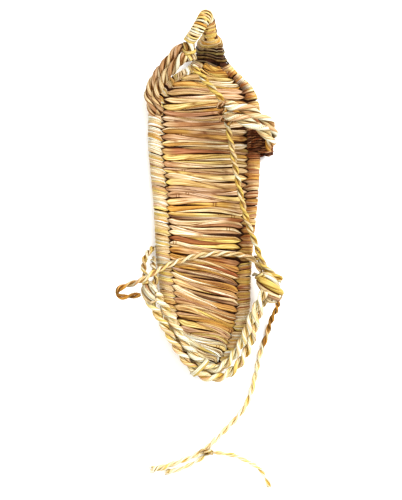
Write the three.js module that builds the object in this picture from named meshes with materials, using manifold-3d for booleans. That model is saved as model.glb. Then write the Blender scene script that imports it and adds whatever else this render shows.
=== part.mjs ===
// Straw sandal for a right foot: a woven straw sole with a rolled border and an upturned toe horn,
// rope straps over the toes, two ropes round the heel, side loops, a lace and a tie cord.
// Millimetres, +Z up, +Y towards the toe, +X to the wearer's right. The origin is on the floor
// plane, under the middle of the sole.
import * as THREE from 'three';
import { mergeVertices } from 'three/addons/utils/BufferGeometryUtils.js';
import Module from 'manifold-3d';

const wasm = await Module();
wasm.setup();

// Driving dimensions
const SOLE_LENGTH = 244;      // heel back to the foot of the horn, along the floor
const BALL_WIDTH = 86;        // widest place, outside of both rolls
const ROLL_HEIGHT = 12;       // rolled border above the floor
const ROLL_WIDTH = 10.5;      // rolled border, from the edge to the field
const FIELD_HEIGHT = 9;       // woven field above the floor
const FIELD_DISH = 0.8;       // how much the middle of the field is trodden down
const ARCH_RISE = 1.4;        // underside at the waist above the floor
const WEFT_PITCH = 5;         // one row of straw bundles
const WEFT_DEPTH = 0.8;       // valley between two rows
const HEEL_ROUND = 0.28;      // share of the sole's length taken by the round heel
const HORN_REACH = 22;        // horn's apex in front of its foot
const HORN_HEIGHT = 48;       // horn's apex above the floor
const HORN_RADIUS = 5.3;      // horn where it turns over
const PEAK_RADIUS = 5.6;      // wrapped rope that runs back from the apex
const STRAP_HEIGHT = 39;      // toe straps' crown above the floor
const STRAP_THICKNESS = 4.6;  // one layer of strap cords
const STRAP_CORDS = 4;        // cords side by side in a strap
const STRAP_CORD_WIDTH = 3.7; // pitch of those cords across the strap
const HEEL_ROPE_RADIUS = 3.4;
const EAR_ROPE_RADIUS = 2.2;
const EAR_HEIGHT = 25;        // side loops' tops above the floor
const BINDING_RADIUS = 6.6;
const LACE_RADIUS = 2.1;
const CROSS_RADIUS = 2.0;
const TIE_RADIUS = 2.1;
const TAIL_RADIUS = 1.7;
const LASHING_RADIUS = 1.7;
const TIE_KNOT_RADIUS = 4.2;
const GAP = 0.35;             // left between pieces that touch

const HALF_WIDTH = BALL_WIDTH / 2;
const TOE_KNOT_RADIUS = HALF_WIDTH * 0.1;
const HEEL_Y = -SOLE_LENGTH * 0.551;
const HEEL_TURN = 5.2;        // length in which a heel rope's plies turn once, in its radii
const LOOP_TURN = 6.4;        // the same for the side loops
const CORD_TURN = 9;          // the same for the lace and the cross cord
const RINGS_A_TURN = 4.6;     // sections of a rope in one turn of its plies
const WRAP_PITCH = 5.5;       // turns of the straw bound round the peak rope

// Sole: half-widths left and right of the middle line as shares of HALF_WIDTH, middle line shift as
// a share of HALF_WIDTH, by the share of SOLE_LENGTH from the heel back.
const OUTLINE = [
  { along: 0.0, left: 0.81, right: 0.81, shift: 0.06 },
  { along: 0.16, left: 0.81, right: 0.81, shift: 0.045 },
  { along: 0.28, left: 0.81, right: 0.81, shift: 0.015 },
  { along: 0.39, left: 0.86, right: 0.855, shift: 0.0 },
  { along: 0.47, left: 0.88, right: 0.905, shift: 0.0 },
  { along: 0.57, left: 0.915, right: 0.965, shift: 0.0 },
  { along: 0.7, left: 0.985, right: 1.0, shift: 0.0 },
  { along: 0.79, left: 0.995, right: 1.005, shift: 0.0 },
  { along: 0.84, left: 0.975, right: 0.99, shift: 0.0 },
  { along: 0.872, left: 0.94, right: 0.945, shift: 0.005 },
  { along: 0.906, left: 0.845, right: 0.845, shift: 0.015 },
  { along: 0.933, left: 0.685, right: 0.68, shift: 0.037 },
  { along: 0.951, left: 0.545, right: 0.53, shift: 0.075 },
  { along: 0.967, left: 0.43, right: 0.41, shift: 0.1 },
  { along: 0.985, left: 0.33, right: 0.32, shift: 0.1 },
  { along: 1.0, left: 0.27, right: 0.27, shift: 0.09 },
];

// Horn: the line through the middle of its sections, as shares of HORN_REACH ahead of the horn's
// foot, of HALF_WIDTH sideways and of HORN_HEIGHT upwards.
const HORN = [
  { ahead: 0.2, side: 0.077, up: 0.375 },
  { ahead: 0.45, side: 0.047, up: 0.52 },
  { ahead: 0.745, side: 0.005, up: 0.665 },
  { ahead: 0.94, side: -0.045, up: 0.8 },
];

// Peak rope, in the same shares, from the apex back to the toe knot.
const PEAK = [
  { ahead: 0.88, side: -0.085, up: 0.935 },
  { ahead: 0.63, side: -0.16, up: 0.985 },
  { ahead: 0.34, side: -0.26, up: 0.955 },
  { ahead: 0.1, side: -0.356, up: 0.875 },
];

const lerp = THREE.MathUtils.lerp;
const smooth = (share) => THREE.MathUtils.smoothstep(share, 0, 1);

// A point by its shares: across of HALF_WIDTH, along of SOLE_LENGTH, and a height in millimetres.
function place(across, along, height) {
  return new THREE.Vector3(across * HALF_WIDTH, HEEL_Y + along * SOLE_LENGTH, height);
}

// A value of a table at a share of the sole's length, on a smooth curve through the rows.
function tableAt(rows, column, along) {
  const last = rows.length - 1;
  if (along <= rows[0].along) return rows[0][column];
  if (along >= rows[last].along) return rows[last][column];
  const k = rows.findIndex((row) => row.along > along) - 1;
  const [a, b, c, d] = [k - 1, k, k + 1, k + 2].map((i) => rows[THREE.MathUtils.clamp(i, 0, last)]);
  const span = c.along - b.along;
  const t = (along - b.along) / span;
  const slopeB = ((c[column] - a[column]) / (c.along - a.along)) * span;
  const slopeC = ((d[column] - b[column]) / (d.along - b.along)) * span;
  const [t2, t3] = [t * t, t * t * t];
  return (2 * t3 - 3 * t2 + 1) * b[column] + (t3 - 2 * t2 + t) * slopeB
    + (3 * t2 - 2 * t3) * c[column] + (t3 - t2) * slopeC;
}

// Distance from the middle line to the sole's edge; the heel closes in a round, narrow end.
function halfWidth(side, along) {
  const full = HALF_WIDTH * tableAt(OUTLINE, side < 0 ? 'left' : 'right', along);
  if (along >= HEEL_ROUND) return full;
  const back = 1 - along / HEEL_ROUND;
  return full * Math.max(0, 1 - back * back) ** 0.6;
}

// Underside above the floor: flat under heel and forefoot, a low arch between, and the toe spring.
function underside(along) {
  const waist = THREE.MathUtils.clamp((along - 0.3) / 0.24, 0, 1);
  const spring = THREE.MathUtils.clamp((along - 0.84) / 0.16, 0, 1);
  return ARCH_RISE * Math.sin(waist * Math.PI) ** 2 + HORN_HEIGHT * 0.13 * spring ** 2;
}

// Closed skin over rings with the same number of points, with a flat fan on each end.
function skin(rings) {
  const count = rings[0].length;
  const position = rings.flat().flatMap((p) => [p.x, p.y, p.z]);
  const index = [];
  for (let r = 0; r + 1 < rings.length; r++) {
    for (let k = 0; k < count; k++) {
      const next = (k + 1) % count;
      const [a, b] = [r * count + k, r * count + next];
      const [c, d] = [a + count, b + count];
      index.push(a, b, d, a, d, c);
    }
  }
  for (const [ring, flip] of [[rings[0], false], [rings.at(-1), true]]) {
    const middle = ring.reduce((sum, p) => sum.add(p), new THREE.Vector3()).divideScalar(count);
    const hub = position.length / 3;
    position.push(middle.x, middle.y, middle.z);
    const first = flip ? (rings.length - 1) * count : 0;
    for (let k = 0; k < count; k++) {
      const [a, b] = [first + k, first + ((k + 1) % count)];
      index.push(...(flip ? [hub, a, b] : [hub, b, a]));
    }
  }
  const geometry = new THREE.BufferGeometry();
  geometry.setAttribute('position', new THREE.Float32BufferAttribute(position, 3));
  geometry.setIndex(index);
  return geometry;
}

// Solids of manifold-3d from a geometry and back.
function solidOf(geometry) {
  const bare = geometry.index ? geometry.toNonIndexed() : geometry.clone();
  bare.deleteAttribute('normal');
  bare.deleteAttribute('uv');
  const merged = mergeVertices(bare, 1e-3);
  return new wasm.Manifold(new wasm.Mesh({
    numProp: 3,
    vertProperties: merged.attributes.position.array,
    triVerts: new Uint32Array(merged.index.array),
  }));
}

function geometryOf(solid) {
  const mesh = solid.getMesh();
  const geometry = new THREE.BufferGeometry();
  geometry.setAttribute('position', new THREE.BufferAttribute(mesh.vertProperties, 3));
  geometry.setIndex(new THREE.BufferAttribute(mesh.triVerts, 1));
  return geometry;
}

// The main body of a solid that a cut left in several.
function largest(solid) {
  return solid.decompose().sort((a, b) => b.volume() - a.volume())[0];
}

// Rings along a curve: section(angle, distance) gives the radius there.
function ringsAlong(curve, steps, sides, section) {
  const frames = curve.computeFrenetFrames(steps, false);
  const length = curve.getLength();
  const rings = [];
  for (let s = 0; s <= steps; s++) {
    const middle = curve.getPointAt(s / steps);
    const ring = [];
    for (let k = 0; k < sides; k++) {
      const angle = (k / sides) * Math.PI * 2;
      const radius = section(angle, (s / steps) * length, length);
      ring.push(middle.clone()
        .addScaledVector(frames.normals[s], Math.cos(angle) * radius)
        .addScaledVector(frames.binormals[s], Math.sin(angle) * radius));
    }
    rings.push(ring);
  }
  return rings;
}

// Two-ply twisted rope: an oval section that turns as it runs, narrower where the plies cross. One
// turn takes a length of so many radii.
function twistedRope(curve, radius, turnInRadii = CORD_TURN, sides = 8) {
  const pitch = radius * turnInRadii;
  const steps = Math.ceil(curve.getLength() / (pitch / RINGS_A_TURN));
  const groove = 0.24;
  return skin(ringsAlong(curve, steps, sides, (angle, distance) => {
    const turn = angle - (distance / pitch) * Math.PI * 2;
    return radius * (1 - groove * Math.sin(turn) ** 2);
  }));
}

// A plain round tube that holds a whole rope with room round it and past its ends, for cutting.
function sleeve(curve, radius, stepLength = radius, sides = 10) {
  const steps = Math.ceil(curve.getLength() / stepLength);
  const rings = ringsAlong(curve, steps, sides, () => (radius + GAP) * 1.03);
  const [start, end] = [curve.getTangentAt(0), curve.getTangentAt(1)];
  rings[0].forEach((p) => p.addScaledVector(start, -GAP));
  rings.at(-1).forEach((p) => p.addScaledVector(end, GAP));
  return solidOf(skin(rings));
}

const curveThrough = (points) => new THREE.CatmullRomCurve3(points, false, 'centripetal');

// Part of a curve between two shares of its length, as a new curve.
function stretch(curve, from, to, count = 12) {
  const points = [];
  for (let k = 0; k <= count; k++) points.push(curve.getPointAt(lerp(from, to, k / count)));
  return curveThrough(points);
}

// Sole

// Half of a section, from the bottom to the field: inset from the edge in roll widths, and height
// as a share of ROLL_HEIGHT; field rows follow the field's height.
const ROLL_SECTION = [
  { inset: 0.3, rise: 0, rib: 0 },
  { inset: 0.04, rise: 0.22, rib: 0.6 },
  { inset: 0.0, rise: 0.55, rib: 1 },
  { inset: 0.16, rise: 0.86, rib: 1 },
  { inset: 0.48, rise: 1.0, rib: 1 },
  { inset: 0.82, rise: 0.9, rib: 1 },
];

// One ring of the sole in its own plane: x across, z up, both from the middle of the underside.
function soleSection(left, right, rollHeight, fieldHeight, rib) {
  const side = (sign, half) => {
    const roll = Math.min(ROLL_WIDTH, half * 0.62);
    const points = ROLL_SECTION.map((row) => ({
      x: sign * (half - row.inset * roll - rib * WEFT_DEPTH * row.rib * (row.inset < 0.3 ? 1 : 0)),
      z: row.rise * rollHeight - rib * WEFT_DEPTH * row.rib * (row.rise > 0.8 ? 1 : 0),
    }));
    points.push({ x: sign * (half - 1.02 * roll), z: fieldHeight - rib * WEFT_DEPTH });
    points.push({ x: sign * half * 0.38, z: fieldHeight - FIELD_DISH * 0.8 - rib * WEFT_DEPTH });
    return points;
  };
  return [...side(-1, left), ...side(1, right).reverse()];
}

// The line that the sole's sections sit on: along the floor, then up the horn to its apex.
function hornPoint(row) {
  return new THREE.Vector3(row.side * HALF_WIDTH,
    HEEL_Y + SOLE_LENGTH + row.ahead * HORN_REACH, row.up * HORN_HEIGHT);
}

const noseCurve = curveThrough([...HORN, ...PEAK].map(hornPoint));
const APEX_SHARE = 0.475; // of the nose curve, where the sole's straw ends and the peak rope starts

function soleRings() {
  const rings = [];
  const rows = Math.round(SOLE_LENGTH / WEFT_PITCH);
  for (let r = 0; r <= rows * 2; r++) {
    const along = 0.004 + (0.996 * r) / (rows * 2);
    const shift = tableAt(OUTLINE, 'shift', along) * HALF_WIDTH;
    const low = underside(along);
    const left = Math.max(halfWidth(-1, along), 3);
    const right = Math.max(halfWidth(1, along), 3);
    const close = smooth((along - 0.9) / 0.1);
    const heelSlope = Math.min(1, 0.72 + along * 6);
    const section = soleSection(left, right, ROLL_HEIGHT * heelSlope,
      lerp(FIELD_HEIGHT * heelSlope, ROLL_HEIGHT * 0.97, close), r % 2);
    const tilt = Math.atan2(HORN_HEIGHT * 0.3, SOLE_LENGTH * 0.16)
      * THREE.MathUtils.clamp((along - 0.86) / 0.14, 0, 1) ** 2;
    rings.push(section.map((p) => new THREE.Vector3(shift + p.x,
      HEEL_Y + along * SOLE_LENGTH - p.z * Math.sin(tilt), low + p.z * Math.cos(tilt))));
  }
  // Horn: the last section of the sole shrinks to a round one and follows the nose curve.
  const front = rings.at(-1);
  const middleOf = front.reduce((sum, p) => sum.add(p), new THREE.Vector3()).divideScalar(front.length);
  const flat = front.map((p) => p.clone().sub(middleOf));
  const steps = 12;
  for (let k = 1; k <= steps; k++) {
    const share = (k / steps) * APEX_SHARE;
    const middle = noseCurve.getPointAt(share);
    const tangent = noseCurve.getTangentAt(share);
    const across = new THREE.Vector3(0, 0, 1).cross(tangent).negate().normalize();
    const up = across.clone().cross(tangent).normalize();
    const slim = smooth(Math.min(1, (k + 1.5) / 7));
    const radius = lerp(HORN_RADIUS * 1.25, HORN_RADIUS * 0.95, k / steps) * (k % 2 ? 1 : 0.94);
    rings.push(flat.map((p) => {
      const height = Math.hypot(p.y, p.z) * Math.sign(p.z);
      const angle = Math.atan2(height * 1.9, p.x);
      return middle.clone()
        .addScaledVector(across, lerp(p.x, Math.cos(angle) * radius, slim))
        .addScaledVector(up, lerp(height, Math.sin(angle) * radius, slim));
    }));
  }
  return rings;
}

const soleSolid = solidOf(skin(soleRings()));

// Peak rope: bound round with straw, so its surface rises in turns.
const peakCurve = stretch(noseCurve, APEX_SHARE + 0.03, 1);
const peakSteps = Math.round(peakCurve.getLength() / WRAP_PITCH) * 2;
const peakGeometry = skin(ringsAlong(peakCurve, peakSteps, 12, (angle, distance, length) => {
  const turn = Math.round((distance / length) * peakSteps) % 2;
  const slim = lerp(1, 0.8, distance / length);
  return PEAK_RADIUS * slim - (turn ? 0 : 0.5);
}));

// Straps: a band of cords side by side. Each row of a route gives its middle, its half-width as a
// share of the full band, and the direction across it.
const BAND_WIDTH = STRAP_CORDS * STRAP_CORD_WIDTH;
const LOBE_PITCH = 9;         // length of one raised lobe of a strap cord

function bandRings(route, steps) {
  const middle = curveThrough(route.map((row) => row.at));
  const rings = [];
  const length = middle.getLength();
  for (let s = 0; s <= steps; s++) {
    const share = s / steps;
    const where = share * (route.length - 1);
    const k = Math.min(route.length - 2, Math.floor(where));
    const [a, b, t] = [route[k], route[k + 1], where - k];
    const point = middle.getPoint(share);
    const tangent = middle.getTangent(share);
    const across = a.across.clone().lerp(b.across, t);
    across.addScaledVector(tangent, -across.dot(tangent)).normalize();
    const out = across.clone().cross(tangent).normalize();
    const half = lerp(a.share, b.share, t) * BAND_WIDTH / 2;
    const columns = STRAP_CORDS * 2;
    const lobe = Math.round((share * length) / (LOBE_PITCH / 2));
    const ring = [];
    for (const face of [1, -1]) {
      for (let c = 0; c <= columns; c++) {
        const position = face > 0 ? c : columns - c;
        const crest = position % 2;
        const row = Math.floor(position / 2);
        const swell = crest ? 0.12 * ((lobe + row) % 2) : 0;
        const edge = position === 0 || position === columns;
        const height = edge ? 0.25 : (crest ? 0.5 + swell : 0.34);
        ring.push(point.clone()
          .addScaledVector(across, (position / columns - 0.5) * 2 * half)
          .addScaledVector(out, face * height * STRAP_THICKNESS));
      }
    }
    rings.push(ring);
  }
  return rings;
}

const rollSeat = ROLL_HEIGHT + STRAP_THICKNESS * 0.62 + GAP;
const direction = (x, y, z) => new THREE.Vector3(x, y, z).normalize();

// Left strap: from the left roll up and forward to the toe knot, standing over the roll.
const leftStrapRoute = [
  { at: place(-0.88, 0.836, rollSeat), share: 0.62, across: direction(1, 0.35, 0.1) },
  { at: place(-0.93, 0.87, STRAP_HEIGHT * 0.47), share: 0.66, across: direction(0.9, 0.3, 0.45) },
  { at: place(-0.84, 0.907, STRAP_HEIGHT * 0.63), share: 0.8, across: direction(0.75, -0.1, 0.62) },
  { at: place(-0.705, 0.937, STRAP_HEIGHT * 0.78), share: 0.92, across: direction(0.62, -0.45, 0.62) },
  { at: place(-0.57, 0.962, STRAP_HEIGHT * 0.9), share: 1.0, across: direction(0.45, -0.75, 0.45) },
  { at: place(-0.445, 0.983, STRAP_HEIGHT * 0.97), share: 1.0, across: direction(0.3, -0.9, 0.25) },
];
const knotCurve = curveThrough([
  noseCurve.getPointAt(1).add(new THREE.Vector3(0.7, -GAP - 3.2, -0.8)),
  place(-0.335, 0.985, STRAP_HEIGHT * 1.0),
  place(-0.3, 0.958, STRAP_HEIGHT * 0.965),
]);
const knotGeometry = skin(ringsAlong(knotCurve, 6, 10, (angle, distance, length) => {
  const share = distance / length;
  const turn = Math.round(share * 6) % 2;
  return lerp(TOE_KNOT_RADIUS, TOE_KNOT_RADIUS * 0.72, share) * (turn ? 1.06 : 0.94);
}));

// Lace: from the toe knot, under the right strap's end, to the right side loop.
const strapEnd = { across: 0.28, along: 0.811 };
const laceCurve = curveThrough([
  place(-0.285, 0.946, STRAP_HEIGHT * 0.95),
  place(-0.01, 0.893, STRAP_HEIGHT * 0.9),
  place(0.23, 0.843, STRAP_HEIGHT * 0.87),
  place(strapEnd.across + 0.03, strapEnd.along - 0.022, STRAP_HEIGHT * 0.83),
  place(0.43, 0.7, STRAP_HEIGHT * 0.68),
  place(0.55, 0.6, STRAP_HEIGHT * 0.58),
  place(0.69, 0.497, STRAP_HEIGHT * 0.54),
  place(0.86, 0.412, STRAP_HEIGHT * 0.58),
  place(0.965, 0.359, EAR_HEIGHT * 1.0),
  place(1.06, 0.337, EAR_HEIGHT * 1.06),
  place(1.18, 0.322, EAR_HEIGHT * 1.07),
  place(1.29, 0.308, EAR_HEIGHT * 1.02),
]);

// Right strap: an arch from the right roll to the middle of the foot, ending in bights round the
// lace.
const rightStrapRoute = [
  { at: place(1.075, 0.722, ROLL_HEIGHT * 0.5), share: 0.6, across: direction(0.05, 1, 0) },
  { at: place(1.135, 0.73, STRAP_HEIGHT * 0.44), share: 0.6, across: direction(0.05, 1, 0.05) },
  { at: place(1.1, 0.752, STRAP_HEIGHT * 0.72), share: 0.74, across: direction(0.3, 1, 0.25) },
  { at: place(0.96, 0.772, STRAP_HEIGHT * 0.88), share: 0.9, across: direction(0.42, 0.9, 0.12) },
  { at: place(0.75, 0.79, STRAP_HEIGHT * 0.98), share: 1.0, across: direction(0.42, 0.9, 0.05) },
  { at: place(0.54, 0.803, STRAP_HEIGHT * 1.02), share: 1.0, across: direction(0.35, 0.93, 0.05) },
  { at: place(0.36, 0.811, STRAP_HEIGHT * 1.0), share: 0.98, across: direction(-0.25, 0.95, 0.1) },
];
// Where the strap's end goes round the lace, as shares of the lace's length.
const BIGHTS = [0.21, 0.24, 0.27];
function rightStrap() {
  let strap = solidOf(skin(bandRings(rightStrapRoute, 21)));
  const bightRadius = LACE_RADIUS + GAP + STRAP_CORD_WIDTH * 0.85;
  for (const share of BIGHTS) {
    const from = laceCurve.getPointAt(share - 0.0105);
    const to = laceCurve.getPointAt(share + 0.0105);
    const bight = curveThrough([from, from.clone().lerp(to, 0.5), to]);
    const ring = skin(ringsAlong(bight, 3, 9, (angle, distance, length) =>
      bightRadius * (0.86 + 0.14 * Math.sin((distance / length) * Math.PI))));
    strap = strap.add(solidOf(ring));
  }
  return largest(strap.subtract(sleeve(laceCurve, LACE_RADIUS, LACE_RADIUS * 2)));
}

// Heel ropes and side loops

// The middle of the pair of heel ropes, from the left binding round the heel to the right one, in
// shares of HALF_WIDTH, SOLE_LENGTH and EAR_HEIGHT. The lean is how far the pair stands on edge.
const HEEL_PAIR = [
  { across: -0.955, along: 0.265, up: 0.96, lean: 20 },
  { across: -0.775, along: 0.215, up: 0.84, lean: 12 },
  { across: -0.58, along: 0.155, up: 0.74, lean: 6 },
  { across: -0.4, along: 0.101, up: 0.67, lean: 0 },
  { across: -0.2, along: 0.055, up: 0.65, lean: 0 },
  { across: 0.02, along: 0.026, up: 0.64, lean: 0 },
  { across: 0.25, along: 0.024, up: 0.64, lean: 0 },
  { across: 0.465, along: 0.049, up: 0.66, lean: 5 },
  { across: 0.655, along: 0.098, up: 0.72, lean: 18 },
  { across: 0.77, along: 0.152, up: 0.8, lean: 36 },
  { across: 0.845, along: 0.2, up: 0.88, lean: 50 },
  { across: 0.95, along: 0.245, up: 0.94, lean: 60 },
  { across: 1.025, along: 0.275, up: 0.98, lean: 65 },
];
function heelRope(which) {
  const pair = curveThrough(HEEL_PAIR.map((row) =>
    place(row.across, row.along, row.up * EAR_HEIGHT)));
  const last = HEEL_PAIR.length - 1;
  return curveThrough(HEEL_PAIR.map((row, k) => {
    const tangent = pair.getTangent(k / last);
    const inward = new THREE.Vector3(-tangent.y, tangent.x, 0).normalize();
    const lean = THREE.MathUtils.degToRad(row.lean);
    const reach = which * (HEEL_ROPE_RADIUS + GAP / 2);
    return pair.getPoint(k / last).addScaledVector(inward, Math.cos(lean) * reach)
      .add(new THREE.Vector3(0, 0, Math.sin(lean) * reach));
  }));
}
const outerCurve = heelRope(-1);
const innerCurve = heelRope(1);

// Side loops: a rope that leaves the roll, runs back to the binding, turns and comes down again.
const EAR_LEFT = curveThrough([
  place(-0.915, 0.404, ROLL_HEIGHT * 0.7),
  place(-1.03, 0.385, EAR_HEIGHT * 0.62),
  place(-1.08, 0.357, EAR_HEIGHT * 0.76),
  place(-1.06, 0.323, EAR_HEIGHT * 0.84),
  place(-1.01, 0.3, EAR_HEIGHT * 0.9),
  place(-0.94, 0.292, EAR_HEIGHT * 0.96),
  place(-0.885, 0.305, EAR_HEIGHT * 0.94),
  place(-0.9, 0.332, EAR_HEIGHT * 0.82),
  place(-0.915, 0.355, EAR_HEIGHT * 0.66),
  place(-0.905, 0.371, ROLL_HEIGHT * 0.7),
]);
const EAR_RIGHT = curveThrough([
  place(0.915, 0.374, ROLL_HEIGHT * 0.7),
  place(0.985, 0.357, EAR_HEIGHT * 0.64),
  place(1.05, 0.335, EAR_HEIGHT * 0.8),
  place(1.1, 0.31, EAR_HEIGHT * 0.9),
  place(1.05, 0.293, EAR_HEIGHT * 0.93),
  place(0.975, 0.297, EAR_HEIGHT * 0.84),
  place(0.93, 0.312, EAR_HEIGHT * 0.68),
  place(0.895, 0.322, ROLL_HEIGHT * 0.7),
]);

// Bindings: turns of straw that hold the heel ropes, the side loop and the cords together.
const BINDING_LEFT = curveThrough([
  place(-1.0, 0.305, EAR_HEIGHT * 0.92),
  place(-0.985, 0.275, EAR_HEIGHT * 0.95),
  place(-0.92, 0.243, EAR_HEIGHT * 0.88),
]);
const BINDING_RIGHT = curveThrough([
  place(0.96, 0.33, EAR_HEIGHT * 0.88),
  place(1.08, 0.29, EAR_HEIGHT * 0.96),
  place(1.24, 0.245, EAR_HEIGHT * 0.88),
]);
function binding(line, turns, radius, held) {
  let knot = solidOf(skin(ringsAlong(line, turns, 10, (angle, distance, length) => {
    const share = distance / length;
    const swell = 0.72 + 0.28 * Math.sin(share * Math.PI);
    return radius * swell * (Math.round(share * turns) % 2 ? 1.05 : 0.95);
  })));
  for (const [curve, radius] of held) knot = knot.subtract(sleeve(curve, radius));
  return largest(knot);
}

// Cross cord: from the right side loop over the field to the left one, out in a bight and back.
const fieldSeat = FIELD_HEIGHT + ARCH_RISE * 0.75 + CROSS_RADIUS + GAP;
const crossCurve = curveThrough([
  place(0.955, 0.332, EAR_HEIGHT * 0.82),
  place(0.9, 0.353, EAR_HEIGHT * 0.76),
  place(0.8, 0.373, ROLL_HEIGHT * 1.41),
  place(0.62, 0.384, ROLL_HEIGHT * 1.26),
  place(0.4, 0.388, fieldSeat * 1.04),
  place(0.1, 0.387, fieldSeat),
  place(-0.2, 0.379, fieldSeat),
  place(-0.5, 0.363, fieldSeat * 1.13),
  place(-0.72, 0.348, ROLL_HEIGHT * 1.5),
  place(-0.94, 0.33, EAR_HEIGHT * 1.07),
  place(-1.09, 0.312, EAR_HEIGHT * 1.12),
  place(-1.3, 0.298, EAR_HEIGHT * 1.06),
  place(-1.5, 0.284, EAR_HEIGHT * 0.98),
  place(-1.535, 0.27, EAR_HEIGHT * 0.95),
  place(-1.47, 0.26, EAR_HEIGHT * 0.94),
  place(-1.3, 0.262, EAR_HEIGHT * 0.96),
  place(-1.14, 0.266, EAR_HEIGHT * 0.96),
]);

// Tie cord: out of the right binding, down to the floor and away behind the heel, with a second
// cord knotted on. These points are chosen by hand.
const TIE_ROUTE = [
  [52.9, -74.2, 22.4], [54, -78.6, 19.4], [53.4, -82.6, 15], [51.7, -88.5, 8.6], [50.4, -95, 4.2], [48.7, -102.5, 2.4],
  [45.4, -111.8, 2.3], [43, -119, 2.3], [40.7, -131, 2.3], [37.4, -143, 2.3], [34.4, -152.3, 2.3],
  [30.4, -159.4, 2.3], [26, -165, 2.3], [20.4, -170.8, 2.3], [14.6, -176.6, 2.3], [8.8, -182.4, 2.3],
  [2.3, -188, 2.3], [-5.4, -192.8, 2.3], [-13.8, -196.3, 2.3], [-22.4, -199.2, 2.3],
  [-31.8, -202, 2.3], [-41.5, -204, 2.3],
];
const SECOND_ROUTE = [
  [6.6, -191.2, 2.3], [14.4, -192.6, 2.3], [24.4, -194.6, 2.3], [33.6, -199, 2.3],
  [40.8, -203, 2.3], [45.4, -208, 2.3], [48.8, -213.6, 2.3], [50.8, -220, 2.3],
];
const TIE_KNOT_AT = new THREE.Vector2(1.8, -190.9);
const TAIL_ROUTE = [
  [1.0, -194.2, 2.1], [-4.6, -197.8, 2.1], [-12, -201.4, 2.1], [-20.6, -204.4, 2.1], [-30.2, -206.6, 2.1],
];

const vectors = (rows) => rows.map((row) => new THREE.Vector3(...row));

function cordTube(route, radius) {
  const sides = 8;
  const section = new THREE.Shape(Array.from({ length: sides }, (unused, k) => {
    const angle = (k / sides) * Math.PI * 2;
    return new THREE.Vector2(Math.cos(angle) * radius, Math.sin(angle) * radius);
  }));
  const path = curveThrough(vectors(route));
  const steps = Math.ceil(path.getLength() / (radius * 5));
  return new THREE.ExtrudeGeometry(section, { steps, extrudePath: path, bevelEnabled: false });
}

// Knot that joins the second cord to the tie cord, with room for both.
function tieKnot() {
  const routes = [TIE_ROUTE.slice(14, 19), SECOND_ROUTE.slice(0, 3), TAIL_ROUTE];
  let knot = solidOf(new THREE.SphereGeometry(TIE_KNOT_RADIUS, 12, 8).scale(1.3, 0.98, 0.9)
    .translate(TIE_KNOT_AT.x, TIE_KNOT_AT.y, TIE_KNOT_RADIUS * 0.9));
  for (const route of routes) {
    knot = knot.subtract(sleeve(curveThrough(vectors(route)), TIE_RADIUS, TIE_RADIUS * 2, 8));
  }
  return largest(knot);
}

// Heel lashing: a strand that ties the heel ropes down on the sole. Its line is given across the
// pair of ropes, in shares of a rope's radius, inwards and upwards from the pair's middle.
const LASHING = [
  { inward: -2.75, up: -0.35 }, { inward: -2.4, up: 0.95 }, { inward: -1.2, up: 1.63 },
  { inward: 0, up: 1.68 }, { inward: 1.2, up: 1.63 }, { inward: 2.4, up: 0.95 },
  { inward: 2.75, up: -0.35 },
];
function heelLashing() {
  const share = 0.415;
  const middle = outerCurve.getPointAt(share);
  const tangent = outerCurve.getTangentAt(share);
  const inward = new THREE.Vector3(-tangent.y, tangent.x, 0).normalize();
  middle.addScaledVector(inward, HEEL_ROPE_RADIUS + GAP / 2);
  const line = curveThrough(LASHING.map((row) => middle.clone()
    .addScaledVector(inward, row.inward * HEEL_ROPE_RADIUS)
    .add(new THREE.Vector3(0, 0, row.up * HEEL_ROPE_RADIUS))));
  let strand = solidOf(skin(ringsAlong(line, 12, 8, () => LASHING_RADIUS)));
  for (const curve of [outerCurve, innerCurve]) {
    strand = strand.subtract(sleeve(curve, HEEL_ROPE_RADIUS));
  }
  return largest(strand);
}

// Assembly

const straw = (color, roughness = 0.75) =>
  new THREE.MeshStandardMaterial({ color, roughness, metalness: 0 });
const MATERIALS = {
  weave: straw('#d9ab62'),
  wrap: straw('#efe2b4', 0.65),
  strap: straw('#e4d2ac'),
  rope: straw('#ecdcA0'),
  cord: straw('#f0e6b8', 0.7),
};

const group = new THREE.Group();

function add(name, geometry, material) {
  const mesh = new THREE.Mesh(geometry, material);
  mesh.name = name;
  group.add(mesh);
  return mesh;
}

add('sole', geometryOf(soleSolid), MATERIALS.weave);
add('toe_peak', peakGeometry, MATERIALS.wrap);
add('strap_left', geometryOf(solidOf(skin(bandRings(leftStrapRoute, 16))).add(solidOf(knotGeometry))),
  MATERIALS.strap);
add('strap_right', geometryOf(rightStrap()), MATERIALS.strap);
add('toe_lace', twistedRope(laceCurve, LACE_RADIUS), MATERIALS.cord);
add('heel_rope_outer', twistedRope(outerCurve, HEEL_ROPE_RADIUS, HEEL_TURN), MATERIALS.rope);
add('heel_rope_inner', twistedRope(innerCurve, HEEL_ROPE_RADIUS, HEEL_TURN), MATERIALS.rope);
add('heel_lashing', geometryOf(heelLashing()), MATERIALS.rope);
add('ear_left', twistedRope(EAR_LEFT, EAR_ROPE_RADIUS, LOOP_TURN), MATERIALS.rope);
add('ear_right', twistedRope(EAR_RIGHT, EAR_ROPE_RADIUS, LOOP_TURN), MATERIALS.rope);
const ropesHeld = [[outerCurve, HEEL_ROPE_RADIUS], [innerCurve, HEEL_ROPE_RADIUS],
  [crossCurve, CROSS_RADIUS], [laceCurve, LACE_RADIUS],
  [curveThrough(vectors(TIE_ROUTE.slice(0, 4))), TIE_RADIUS + GAP / 2]];
add('binding_left', geometryOf(binding(BINDING_LEFT, 8, BINDING_RADIUS,
  [...ropesHeld, [EAR_LEFT, EAR_ROPE_RADIUS]])), MATERIALS.rope);
add('binding_right', geometryOf(binding(BINDING_RIGHT, 10, BINDING_RADIUS * 1.2,
  [...ropesHeld, [EAR_RIGHT, EAR_ROPE_RADIUS]])), MATERIALS.rope);
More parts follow.
